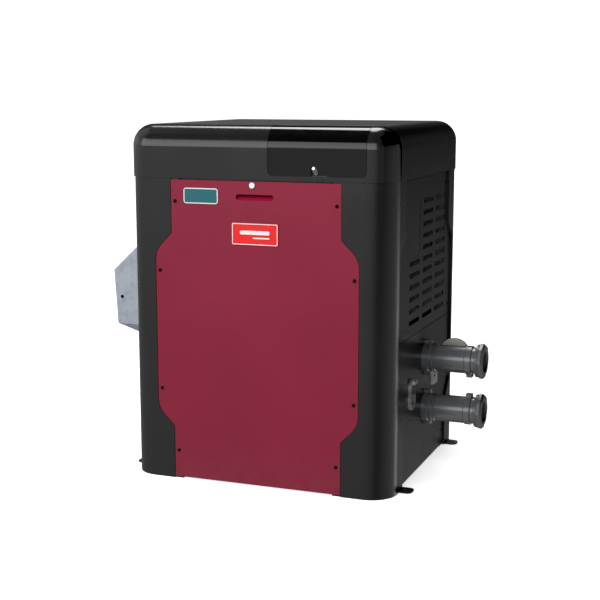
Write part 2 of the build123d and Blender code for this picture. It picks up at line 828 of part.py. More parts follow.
def gas_train():
    with BuildPart() as manifold:
        with BuildSketch(side_plane(-190)):
            with Locations((MANIFOLD_Y, BURNER_Z)):
                Circle(13.35)
        extrude(amount=380)
        for x in burner_x_places():
            with BuildSketch(front_plane(MANIFOLD_Y)):
                with Locations((x, BURNER_Z)):
                    Circle(6)
            extrude(amount=-30)
            with BuildSketch(front_plane(MANIFOLD_Y + 30)):
                with Locations((x, BURNER_Z)):
                    Circle(3.5)
            extrude(amount=-10)
        with BuildSketch(Plane.XY.offset(BURNER_Z)):
            with Locations((0, MANIFOLD_Y)):
                Circle(16.5)
        extrude(amount=30)
        with BuildLine() as route:
            Polyline(
                (0, MANIFOLD_Y, BURNER_Z + 20),
                (0, MANIFOLD_Y, VALVE_Z),
                (-59.5, MANIFOLD_Y, VALVE_Z),
            )
            fillet(route.vertices().sort_by(Axis.Z).group_by(Axis.X)[-1][-1], 25)
        with BuildSketch(Plane(origin=(0, MANIFOLD_Y, BURNER_Z + 20), z_dir=(0, 0, 1))):
            Circle(10.7)
        sweep(path=route.line)
    save(manifold, "gas_manifold")

    with BuildPart() as valve:
        with BuildSketch(side_plane(-150)):
            with Locations((MANIFOLD_Y, VALVE_Z)):
                RectangleRounded(62, 62, 6)
        extrude(amount=90)
        with BuildSketch(front_plane(MANIFOLD_Y - 31)):
            with Locations((-105, VALVE_Z)):
                Circle(20)
        extrude(amount=5)
        with BuildSketch(Plane.XY.offset(VALVE_Z + 31)):
            with Locations((-128, MANIFOLD_Y), (-84, MANIFOLD_Y)):
                Rectangle(30, 44)
        extrude(amount=24)
        with BuildSketch(front_plane(MANIFOLD_Y - 36)):
            with Locations((-105, VALVE_Z)):
                Circle(4.06)
        extrude(amount=-14, mode=Mode.SUBTRACT)
    save(valve, "gas_valve")

    with BuildPart() as knob:
        with BuildSketch(front_plane(MANIFOLD_Y - 36.4)):
            with Locations((-105, VALVE_Z)):
                Circle(17)
        extrude(amount=10)
        with BuildSketch(front_plane(MANIFOLD_Y - 46.4)):
            with Locations((-105, VALVE_Z)):
                RectangleRounded(30, 7, 2)
        extrude(amount=7)
        fillet(knob.edges().group_by(Axis.Y)[0], 1.5)
        with BuildSketch(front_plane(MANIFOLD_Y - 36.4)):
            with Locations((-105, VALVE_Z)):
                Circle(4)
        extrude(amount=-12)
    save(knob, "gas_valve_knob")

    with BuildPart() as inlet:
        with BuildSketch(side_plane(GAS_PORT_X)):
            with Locations((MANIFOLD_Y, VALVE_Z)):
                Circle(16)
        extrude(amount=30)
        with BuildSketch(side_plane(GAS_PORT_X + 30)):
            with Locations((MANIFOLD_Y, VALVE_Z)):
                Circle(13.35)
        extrude(amount=-150.3 - GAS_PORT_X - 30)
        with BuildSketch(side_plane(GAS_PORT_X)):
            with Locations((MANIFOLD_Y, VALVE_Z)):
                Circle(10.4)
        extrude(amount=-150.3 - GAS_PORT_X, mode=Mode.SUBTRACT)
        with BuildSketch(side_plane(GAS_PORT_X)):
            with Locations((MANIFOLD_Y, VALVE_Z)):
                Circle(12.3)
        extrude(amount=22, mode=Mode.SUBTRACT)
    save(inlet, "gas_inlet_pipe")

    with BuildPart() as igniter:
        with BuildSketch(front_plane(CHAMBER_FRONT - 0.2)):
            with Locations((60, 172)):
                RectangleRounded(36, 24, 4)
        extrude(amount=2)
        with BuildSketch(front_plane(CHAMBER_FRONT - 18)):
            with Locations((60, 172)):
                Circle(6.5)
        extrude(amount=-60)
        with BuildSketch(front_plane(CHAMBER_FRONT + 42)):
            with Locations((57, 172), (63, 172)):
                Circle(1.4)
        extrude(amount=-25)
    save(igniter, "igniter")


def tube_places():
    first = TUBE_Y - TUBE_PITCH * (TUBE_COUNT - 1) / 2
    return [first + TUBE_PITCH * index for index in range(TUBE_COUNT)]


def finned_tubes():
    fin = 20
    pitch = 12
    with BuildPart() as tubes:
        for y in tube_places():
            with BuildSketch(Plane(origin=(0, y, TUBE_Z), x_dir=(1, 0, 0), z_dir=(0, -1, 0))) as profile:
                with BuildLine():
                    points = [(CHAMBER_LEFT - 10, 7.6), (CHAMBER_LEFT - 10, TUBE_RADIUS)]
                    for index in range(35):
                        x = CHAMBER_LEFT + 14 + pitch * index
                        points += [(x, TUBE_RADIUS), (x, fin), (x + 3, fin), (x + 3, TUBE_RADIUS)]
                    points += [(CHAMBER_RIGHT + 10, TUBE_RADIUS), (CHAMBER_RIGHT + 10, 7.6)]
                    Polyline(*points, close=True)
                make_face()
            revolve(profile.sketch, axis=Axis((0, y, TUBE_Z), (1, 0, 0)))
    save(tubes, "finned_tubes")


def header_bolt_places():
    """Bolts of the two headers, as (y, z)."""
    upper = [(y, 397) for y in (-105, -20, 30, 80, 130, 215)]
    lower = [(y, 341) for y in (-105, 80, 130, 215)]
    return upper + lower


def exchanger():
    left = CHAMBER_LEFT - 10
    right = CHAMBER_RIGHT + 10
    with BuildPart() as frame:
        for x in (left, right - 8):
            with BuildSketch(side_plane(x)):
                with Locations((TUBE_Y, TUBE_Z)):
                    Rectangle(CHAMBER_BACK - CHAMBER_FRONT, 66)
                with Locations(*[(y, TUBE_Z) for y in tube_places()]):
                    Circle(TUBE_RADIUS + 0.05, mode=Mode.SUBTRACT)
                with Locations(*header_bolt_places()):
                    Circle(3.95, mode=Mode.SUBTRACT)
            extrude(amount=8)
        for y in (CHAMBER_FRONT, CHAMBER_BACK - SHEET):
            with BuildSketch(Plane.XY.offset(EXCHANGER_Z)):
                with Locations(((left + right) / 2, y + SHEET / 2)):
                    Rectangle(right - left, SHEET)
            extrude(amount=66)
    save(frame, "exchanger_frame")

    with BuildPart() as gaskets:
        for x in (left - 1.6, right + 0.1):
            with BuildSketch(side_plane(x)):
                with Locations((TUBE_Y, TUBE_Z)):
                    RectangleRounded(350, 64, 6)
                    RectangleRounded(338, 42, 4, mode=Mode.SUBTRACT)
                with Locations(*header_bolt_places()):
                    Circle(4.2, mode=Mode.SUBTRACT)
            extrude(amount=1.5)
    save(gaskets, "header_gaskets")

    with BuildPart() as back_header:
        with BuildSketch(side_plane(left - 1.7)):
            with Locations((TUBE_Y, TUBE_Z)):
                RectangleRounded(350, 64, 6)
            with Locations(*header_bolt_places()):
                Circle(4.2, mode=Mode.SUBTRACT)
        extrude(amount=-7)
        with BuildSketch(side_plane(left - 1.7)):
            with Locations((TUBE_Y, TUBE_Z)):
                RectangleRounded(346, 42, 10)
        extrude(amount=-32)
        with BuildSketch(side_plane(left - 1.7)):
            with Locations((TUBE_Y, TUBE_Z)):
                RectangleRounded(334, 30, 6)
        extrude(amount=-26, mode=Mode.SUBTRACT)
    save(back_header, "return_header")

    face = right + 1.7
    with BuildPart() as header:
        with BuildSketch(side_plane(face)):
            with Locations((TUBE_Y, TUBE_Z)):
                RectangleRounded(350, 64, 6)
            with Locations(*header_bolt_places()):
                Circle(4.2, mode=Mode.SUBTRACT)
        extrude(amount=7)
        with BuildSketch(side_plane(face)):
            with Locations((TUBE_Y, TUBE_Z)):
                RectangleRounded(346, 42, 10)
        extrude(amount=34)
        with BuildSketch(side_plane(face)):
            with Locations((PIPE_Y, 220)):
                RectangleRounded(84, 262, 12)
        extrude(amount=HEADER_FACE - face)
        # Water ways: the lower port feeds the front tubes, the upper port drains the rear ones
        with BuildSketch(side_plane(face)):
            with Locations((-61, TUBE_Z)):
                Rectangle(98, 30)
            with Locations((116, TUBE_Z)):
                Rectangle(216, 30)
        extrude(amount=28, mode=Mode.SUBTRACT)
        with BuildSketch(side_plane(face + 6)):
            with Locations((PIPE_Y, LOWER_PIPE_Z)):
                Rectangle(68, 66)
            with Locations((-19, 270)):
                Rectangle(12, 200)
            with Locations((PIPE_Y + 14, 290)):
                Rectangle(40, 140)
        extrude(amount=40, mode=Mode.SUBTRACT)
        with BuildSketch(side_plane(HEADER_FACE)):
            with Locations((PIPE_Y, UPPER_PIPE_Z), (PIPE_Y, LOWER_PIPE_Z)):
                Circle(PIPE_BORE)
        extrude(amount=-14, mode=Mode.SUBTRACT)
        with BuildSketch(side_plane(HEADER_FACE)):
            with Locations(*stub_bolt_places()):
                Circle(2.55)
        extrude(amount=-10, mode=Mode.SUBTRACT)
        with BuildSketch(front_plane(-40)):
            with Locations((276, 190)):
                Circle(10.2)
        extrude(amount=-16, mode=Mode.SUBTRACT)
    save(header, "inlet_outlet_header")


def stub_bolt_places():
    """Bolts above and below each water stub, as (y, z)."""
    return [(PIPE_Y, z + step) for z in (UPPER_PIPE_Z, LOWER_PIPE_Z) for step in (-STUB_BOLT, STUB_BOLT)]


def bolt(shank, head, radius):
    """Hexagon bolt in its own frame: the head's underside is at z = 0."""
    with BuildPart() as screw:
        with BuildSketch():
            RegularPolygon(head, 6)
        extrude(amount=0.8 * head)
        with BuildSketch():
            Circle(radius)
        extrude(amount=-shank)
    return screw.part


def header_bolts():
    left = CHAMBER_LEFT - 10 - 1.7 - 7.05
    right = CHAMBER_RIGHT + 10 + 1.7 + 7.05
    short_bolt = bolt(16, 6.5, 3.9)
    long_bolt = bolt(42, 4.6, 2.4)
    with BuildPart() as bolts:
        for y, z in header_bolt_places():
            with Locations(Plane(origin=(right, y, z), x_dir=(0, 1, 0), z_dir=(1, 0, 0))):
                add(short_bolt)
            with Locations(Plane(origin=(left, y, z), x_dir=(0, 1, 0), z_dir=(-1, 0, 0))):
                add(short_bolt)
        for y, z in stub_bolt_places():
            with Locations(Plane(origin=(318.1, y, z), x_dir=(0, 1, 0), z_dir=(1, 0, 0))):
                add(long_bolt)
    save(bolts, "header_bolts")


def flue():
    with BuildPart() as collector:
        box_wall(CHAMBER_LEFT, CHAMBER_RIGHT, CHAMBER_FRONT, CHAMBER_BACK, COLLECTOR_Z, COLLECTOR_TOP, SHEET)
        with BuildSketch(Plane.XY.offset(COLLECTOR_TOP - SHEET)):
            with Locations(((CHAMBER_LEFT + CHAMBER_RIGHT) / 2, (CHAMBER_FRONT + CHAMBER_BACK) / 2)):
                Rectangle(CHAMBER_RIGHT - CHAMBER_LEFT, CHAMBER_BACK - CHAMBER_FRONT)
            with Locations((BLOWER_X, BLOWER_Y)):
                Circle(54, mode=Mode.SUBTRACT)
        extrude(amount=SHEET)
    save(collector, "flue_collector")

    duct_end = -306
    duct_y = BLOWER_Y + 65
    with BuildPart() as volute:
        with BuildSketch(Plane.XY.offset(BLOWER_Z)):
            with Locations((BLOWER_X, BLOWER_Y)):
                Circle(BLOWER_RADIUS)
            with Locations(((duct_end + BLOWER_X) / 2, duct_y)):
                Rectangle(BLOWER_X - duct_end, 70)
        extrude(amount=BLOWER_TOP - BLOWER_Z)
        with BuildSketch(Plane.XY.offset(BLOWER_Z + SHEET)):
            with Locations((BLOWER_X, BLOWER_Y)):
                Circle(BLOWER_RADIUS - SHEET)
            with Locations(((duct_end + BLOWER_X) / 2 - 1, duct_y)):
                Rectangle(BLOWER_X - duct_end + 2, 66)
        extrude(amount=BLOWER_TOP - BLOWER_Z - 2 * SHEET, mode=Mode.SUBTRACT)
        with BuildSketch(Plane.XY.offset(BLOWER_Z)):
            with Locations((BLOWER_X, BLOWER_Y)):
                Circle(54)
        extrude(amount=SHEET, mode=Mode.SUBTRACT)
        with BuildSketch(Plane.XY.offset(BLOWER_TOP)):
            with Locations((BLOWER_X, BLOWER_Y)):
                Circle(8)
        extrude(amount=-SHEET, mode=Mode.SUBTRACT)
    save(volute, "blower_housing")

    with BuildPart() as motor:
        with BuildSketch(Plane.XY.offset(BLOWER_TOP + 0.1)):
            with Locations((BLOWER_X, BLOWER_Y)):
                Circle(60)
        extrude(amount=4)
        with BuildSketch(Plane.XY.offset(BLOWER_TOP + 4)):
            with Locations((BLOWER_X, BLOWER_Y)):
                Circle(46)
        extrude(amount=74)
        fillet(motor.edges().group_by(Axis.Z)[-1], 8)
        with BuildSketch(Plane.XY.offset(BLOWER_TOP)):
            with Locations((BLOWER_X, BLOWER_Y)):
                Circle(5.05)
        extrude(amount=60, mode=Mode.SUBTRACT)
    save(motor, "blower_motor")

    with BuildPart() as wheel:
        with BuildSketch(Plane.XY.offset(486)):
            with Locations((BLOWER_X, BLOWER_Y)):
                Circle(80)
        extrude(amount=2)
        with BuildSketch(Plane.XY.offset(444)):
            with Locations((BLOWER_X, BLOWER_Y)):
                Circle(80)
                Circle(62, mode=Mode.SUBTRACT)
        extrude(amount=2)
        with BuildSketch(Plane.XY.offset(444)):
            with Locations((BLOWER_X, BLOWER_Y)):
                with PolarLocations(71, 28):
                    Rectangle(17, 1.6, rotation=25)
        extrude(amount=43)
        with BuildSketch(Plane.XY.offset(465)):
            with Locations((BLOWER_X, BLOWER_Y)):
                Circle(13)
        extrude(amount=23)
        with BuildSketch(Plane.XY.offset(486)):
            with Locations((BLOWER_X, BLOWER_Y)):
                Circle(5)
        extrude(amount=60)
    save(wheel, "blower_impeller")


def hood_body(shrink, wall_x):
    """Solid with the hood's form, moved in by the sheet's thickness where asked."""
    half = HOOD_HALF - shrink
    shoulder_x = HOOD_SHOULDER[0] + shrink
    heel_x = HOOD_HEEL[0] + shrink
    with BuildPart() as body:
        with BuildSketch(front_plane(half)):
            with BuildLine():
                Polyline(
                    (wall_x, HOOD_HEEL[1]),
                    (heel_x, HOOD_HEEL[1]),
                    (shoulder_x, HOOD_SHOULDER[1] - shrink / 2),
                    (wall_x, HOOD_TOP - 1.4 * shrink),
                    close=True,
                )
            make_face()
        extrude(amount=2 * half)
        with BuildSketch(Plane.XY.offset(HOOD_HEEL[1])):
            with Locations(((wall_x + heel_x) / 2, 0)):
                Rectangle(wall_x - heel_x, 2 * half)
        with BuildSketch(Plane.XY.offset(HOOD_BOTTOM + shrink)):
            with Locations((wall_x - 1.5, 0)):
                Rectangle(3, 2 * half - 52)
        loft()
    return body.part


def exhaust_hood():
    wall_x = -SIDE_FACE - 0.2
    outer = hood_body(0, wall_x)
    inner = hood_body(SHEET, wall_x)
    with BuildPart() as hood:
        add(outer)
        add(inner, mode=Mode.SUBTRACT)
        with BuildSketch(Plane.XY.offset(HOOD_BOTTOM - 10)):
            with Locations((-362, 0)):
                with GridLocations(20, 1, 4, 1):
                    SlotOverall(200, 11, rotation=90)
        extrude(amount=70, mode=Mode.SUBTRACT)
        for end in (-1, 1):
            with BuildSketch(side_plane(wall_x)):
                with Locations((end * (HOOD_HALF + 8), 436)):
                    Rectangle(18, 230)
            extrude(amount=-SHEET)
        with BuildSketch(side_plane(wall_x)):
            with Locations((0, HOOD_TOP + 7)):
                Rectangle(300, 18)
        extrude(amount=-SHEET)
        with BuildSketch(side_plane(wall_x)):
            with Locations(*hood_screw_places()):
                Circle(2.3)
        extrude(amount=-SHEET, mode=Mode.SUBTRACT)
        with BuildSketch(Plane.XZ):
            with Locations((-400, 387)):
                Circle(2.3)
        extrude(amount=200, both=True, mode=Mode.SUBTRACT)
    save(hood, "exhaust_hood")


def stub_profile(z):
    """Section of a water stub above its own axis, as (x, radius)."""
    with BuildSketch(Plane(origin=(0, PIPE_Y, z), x_dir=(1, 0, 0), z_dir=(0, -1, 0))) as section:
        with BuildLine():
            Polyline(
                (STUB_START, PIPE_BORE),
                (STUB_START, 33.6),
                (317, 33.6),
                (318, 32.2),
                (324, 32.2),
                (325, 33.2),
                (328, 33.2),
                (329, 32.2),
                (331, 32.2),
                (332, 33.2),
                (334, 33.2),
                (335, PIPE_RADIUS),
                (403, PIPE_RADIUS),
                (405, 33.4),
                (418, 33.4),
                (420, 30.4),
                (428, 30.4),
                (429.5, 34),
                (436, 34),
                (436, 32.4),
                (434, 32.4),
                (434, 29),
                (436, 29),
                (436, 27.5),
                (402, 27.5),
                (400, PIPE_BORE),
                close=True,
            )
        make_face()
    return section.sketch


def water_stub(name, z, lug_side, with_branch):
    """Flanged water stub; lug_side puts the collar's lug above or below the pipe."""
    section = stub_profile(z)
    axis = Axis((0, PIPE_Y, z), (1, 0, 0))
    with BuildPart() as stub:
        revolve(section, axis=axis)
        with BuildSketch(side_plane(306)):
            with Locations((PIPE_Y, z)):
                SlotOverall(2 * STUB_BOLT + 11.2, 11.2, rotation=90)
                Circle(32, mode=Mode.SUBTRACT)
        extrude(amount=12)
        with BuildSketch(side_plane(306)):
            with Locations((PIPE_Y, z + STUB_BOLT), (PIPE_Y, z - STUB_BOLT)):
                Circle(2.7)
        extrude(amount=12, mode=Mode.SUBTRACT)
        with BuildSketch(side_plane(405.5)):
            with Locations((PIPE_Y, z + lug_side * 34.5)):
                RectangleRounded(20, 9, 2)
        extrude(amount=13)
        if with_branch:
            with BuildSketch(front_plane(PIPE_Y + 20)):
                with Locations((BYPASS_X, z)):
                    Circle(17)
            extrude(amount=-49)
            with BuildSketch(front_plane(PIPE_Y)):
                with Locations((BYPASS_X, z)):
                    Circle(12)
            extrude(amount=-69, mode=Mode.SUBTRACT)
    save(stub, name)


def unions():
    with BuildPart() as tails:
        for z in (UPPER_PIPE_Z, LOWER_PIPE_Z):
            with BuildSketch(Plane(origin=(0, PIPE_Y, z), x_dir=(1, 0, 0), z_dir=(0, -1, 0))) as section:
                with BuildLine():
                    Polyline(
                        (404, 21.5),
                        (404, 27.2),
                        (436.6, 27.2),
                        (436.6, 33.6),
                        (440.4, 33.6),
                        (440.4, 29),
                        (NUT_END, 29),
                        (NUT_END, SOCKET_RADIUS + 2),
                        (NUT_END - 2, SOCKET_RADIUS),
                        (412, SOCKET_RADIUS),
                        (412, 21.5),
                        close=True,
                    )
                make_face()
            revolve(section.sketch, axis=Axis((0, PIPE_Y, z), (1, 0, 0)))
    save(tails, "union_tailpieces")

    with BuildPart() as rings:
        for z in (UPPER_PIPE_Z, LOWER_PIPE_Z):
            with BuildSketch(Plane(origin=(0, PIPE_Y, z), x_dir=(1, 0, 0), z_dir=(0, -1, 0))) as section:
                with Locations((435.25, 30.7)):
                    Circle(1.2)
            revolve(section.sketch, axis=Axis((0, PIPE_Y, z), (1, 0, 0)))
    save(rings, "union_o_rings")

    for name, z in (("union_nut_upper", UPPER_PIPE_Z), ("union_nut_lower", LOWER_PIPE_Z)):
        with BuildPart() as nut:
            for start, end, opening in ((NUT_START + 6, NUT_END - 6, 34.5), (NUT_END - 6, NUT_END, 29.4)):
                with BuildSketch(side_plane(start)) as ring:
                    with Locations((PIPE_Y, z)):
                        RegularPolygon(NUT_RADIUS, 8)
                    fillet(ring.vertices(), 14)
                    with Locations((PIPE_Y, z)):
                        Circle(opening, mode=Mode.SUBTRACT)
                extrude(amount=end - start)
            chamfer(nut.faces().sort_by(Axis.X)[-1].outer_wire().edges(), 4)
            chamfer(nut.faces().sort_by(Axis.X)[0].outer_wire().edges(), 2.5)
            with BuildSketch(side_plane(NUT_START)):
                with Locations((PIPE_Y, z)):
                    Circle(38)
                    Circle(34.5, mode=Mode.SUBTRACT)
            extrude(amount=6.5)
            chamfer(nut.faces().sort_by(Axis.X)[0].outer_wire().edges(), 1.5)
        save(nut, name)


def bypass_cap():
    """Domed metal cap that closes the bypass valve's branch behind the upper stub."""
    with BuildPart() as cap:
        with BuildSketch(front_plane(78.2)):
            with Locations((BYPASS_X, UPPER_PIPE_Z)):
                Circle(35)
        extrude(amount=-24)
        fillet(cap.edges().group_by(Axis.Y)[-1], 20)
        chamfer(cap.edges().group_by(Axis.Y)[0], 1.5)
        with BuildSketch(front_plane(66)):
            with Locations((BYPASS_X, UPPER_PIPE_Z)):
                Circle(11.8)
        extrude(amount=-13)
    save(cap, "bypass_cap")


def relief_valve():
    with BuildPart() as body:
        with BuildSketch(side_plane(266)):
            with Locations((RELIEF_Y, (BONNET_Z + OUTLET_Z) / 2)):
                RectangleRounded(32, 60, 10)
        extrude(amount=34)
        with BuildSketch(side_plane(290)):
            with Locations((RELIEF_Y, BONNET_Z)):
                Circle(20)
        extrude(amount=20)
        with BuildSketch(side_plane(290)):
            with Locations((RELIEF_Y, OUTLET_Z)):
                Circle(22)
        extrude(amount=20)
        for outer, inner in ((19.6, 18.4), (16.4, 15.2)):
            with BuildSketch(side_plane(310)):
                with Locations((RELIEF_Y, OUTLET_Z)):
                    Circle(outer)
                    Circle(inner, mode=Mode.SUBTRACT)
            extrude(amount=-1.4, mode=Mode.SUBTRACT)
        with BuildSketch(side_plane(310)):
            with Locations((RELIEF_Y, OUTLET_Z)):
                Circle(12.3)
        extrude(amount=-26, mode=Mode.SUBTRACT)
        with BuildSketch(side_plane(309)):
            with Locations((RELIEF_Y - 8, LEVER_PIN_Z - 0.5), (RELIEF_Y + 8, LEVER_PIN_Z - 0.5)):
                Rectangle(3, 9)
        extrude(amount=8)
        with BuildSketch(front_plane(RELIEF_Y - 12)):
            with Locations((LEVER_PIN_X, LEVER_PIN_Z)):
                Circle(1.55)
        extrude(amount=-24, mode=Mode.SUBTRACT)
        with BuildSketch(front_plane(RELIEF_Y + 14)):
            with Locations((276, 190)):
                Circle(10)
        extrude(amount=-70)
    save(body, "relief_valve_body")

    with BuildPart() as lever:
        with BuildSketch(side_plane(LEVER_PIN_X - 2.5)):
            with BuildLine():
                Polyline(
                    (RELIEF_Y - 4, LEVER_PIN_Z),
                    (RELIEF_Y - 14, LEVER_PIN_Z - 27),
                    (RELIEF_Y + 14, LEVER_PIN_Z - 27),
                    (RELIEF_Y + 4, LEVER_PIN_Z),
                    close=True,
                )
            make_face()
            with BuildLine():
                Polyline(
                    (RELIEF_Y - 2, LEVER_PIN_Z - 7),
                    (RELIEF_Y - 8.4, LEVER_PIN_Z - 23.5),
                    (RELIEF_Y + 8.4, LEVER_PIN_Z - 23.5),
                    (RELIEF_Y + 2, LEVER_PIN_Z - 7),
                    close=True,
                )
            make_face(mode=Mode.SUBTRACT)
            with Locations((RELIEF_Y, LEVER_PIN_Z - 16.5)):
                Rectangle(13, 3)
        extrude(amount=1.8)
        with BuildSketch(front_plane(RELIEF_Y - 6)):
            with Locations((LEVER_PIN_X, LEVER_PIN_Z)):
                Circle(3.1)
        extrude(amount=-12)
        with BuildSketch(front_plane(RELIEF_Y - 6)):
            with Locations((LEVER_PIN_X, LEVER_PIN_Z)):
                Circle(1.6)
        extrude(amount=-12, mode=Mode.SUBTRACT)
    save(lever, "relief_valve_lever")

    with BuildPart() as pin:
        with BuildSketch(front_plane(RELIEF_Y - 11)):
            with Locations((LEVER_PIN_X, LEVER_PIN_Z)):
                Circle(1.5)
        extrude(amount=-22)
    save(pin, "relief_lever_pin")


def bonding_lug():
    """Tinned angle for the bonding wire, on the rear half of the lower panel."""
    with BuildPart() as lug:
        with BuildSketch(front_plane(67)):
            with BuildLine():
                Line((SIDE_FACE + 0.1, 213), (SIDE_FACE + 15, 213))
                Line((SIDE_FACE + 15, 213), (SIDE_FACE + 15, 193))
                ThreePointArc((SIDE_FACE + 15, 193), (SIDE_FACE + 11.5, 184.5), (SIDE_FACE + 3, 181))
                Polyline((SIDE_FACE + 3, 181), (SIDE_FACE + 0.1, 181), (SIDE_FACE + 0.1, 213))
            make_face()
            with Locations((SIDE_FACE + 8, 203)):
                Circle(2.6, mode=Mode.SUBTRACT)
        extrude(amount=-2)
        with BuildSketch(side_plane(SIDE_FACE + 0.1)):
            with Locations((77, 197)):
                Rectangle(18, 32)
        extrude(amount=2)
    save(lug, "bonding_lug")


def wiring():
    with BuildPart() as harness:
        with BuildLine() as route:
            Spline(
                (150, -206, 755.5),
                (150, -200, 660),
                (40, -195, 470),
                (-84, -190, 330),
                (-84, -188, 260),
            )
        with BuildSketch(Plane(origin=route.line @ 0, z_dir=route.line % 0)):
            Circle(5)
        sweep(path=route.line)
    save(harness, "wiring_harness")


shared_pocket = post_pocket()
corner_post("post_front_left", -1, -1, shared_pocket)
corner_post("post_front_right", 1, -1, shared_pocket)
corner_post("post_rear_left", -1, 1, shared_pocket)
corner_post("post_rear_right", 1, 1, shared_pocket)
base_pan()
anchor_brackets()
front_panel()
front_panel_screws()
door_fastener()
name_plates()
right_panels()
left_panel()
rear_panel()
cabinet_screws()
lid()
control_cover()
cover_fittings()
control_panel()
keypad()
fire_box()
burner_tubes()
gas_train()
finned_tubes()
exchanger()
header_bolts()
flue()
exhaust_hood()
water_stub("water_stub_upper", UPPER_PIPE_Z, -1, True)
water_stub("water_stub_lower", LOWER_PIPE_Z, 1, False)
unions()
bypass_cap()
relief_valve()
bonding_lug()
wiring()
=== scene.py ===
"""A gas pool heater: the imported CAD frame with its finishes, fine fittings, light and camera."""

import math
import random

import bmesh
import bpy
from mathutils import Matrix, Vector


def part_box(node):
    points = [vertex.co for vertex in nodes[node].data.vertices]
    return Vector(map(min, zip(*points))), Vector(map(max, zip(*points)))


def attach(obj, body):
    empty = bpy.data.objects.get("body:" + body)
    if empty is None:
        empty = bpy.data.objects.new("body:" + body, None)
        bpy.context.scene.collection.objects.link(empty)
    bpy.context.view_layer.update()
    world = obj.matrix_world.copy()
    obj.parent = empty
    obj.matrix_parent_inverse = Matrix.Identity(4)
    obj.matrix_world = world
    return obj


MM = 0.001
SEED = 7

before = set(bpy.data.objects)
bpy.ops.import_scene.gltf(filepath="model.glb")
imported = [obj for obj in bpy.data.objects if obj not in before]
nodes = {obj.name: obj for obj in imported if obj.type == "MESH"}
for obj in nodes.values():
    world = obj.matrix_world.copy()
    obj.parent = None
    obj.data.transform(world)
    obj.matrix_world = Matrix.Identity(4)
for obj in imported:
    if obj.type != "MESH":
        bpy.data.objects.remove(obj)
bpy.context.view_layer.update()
draw = random.Random(SEED)


# ---------------------------------------------------------------- finishes


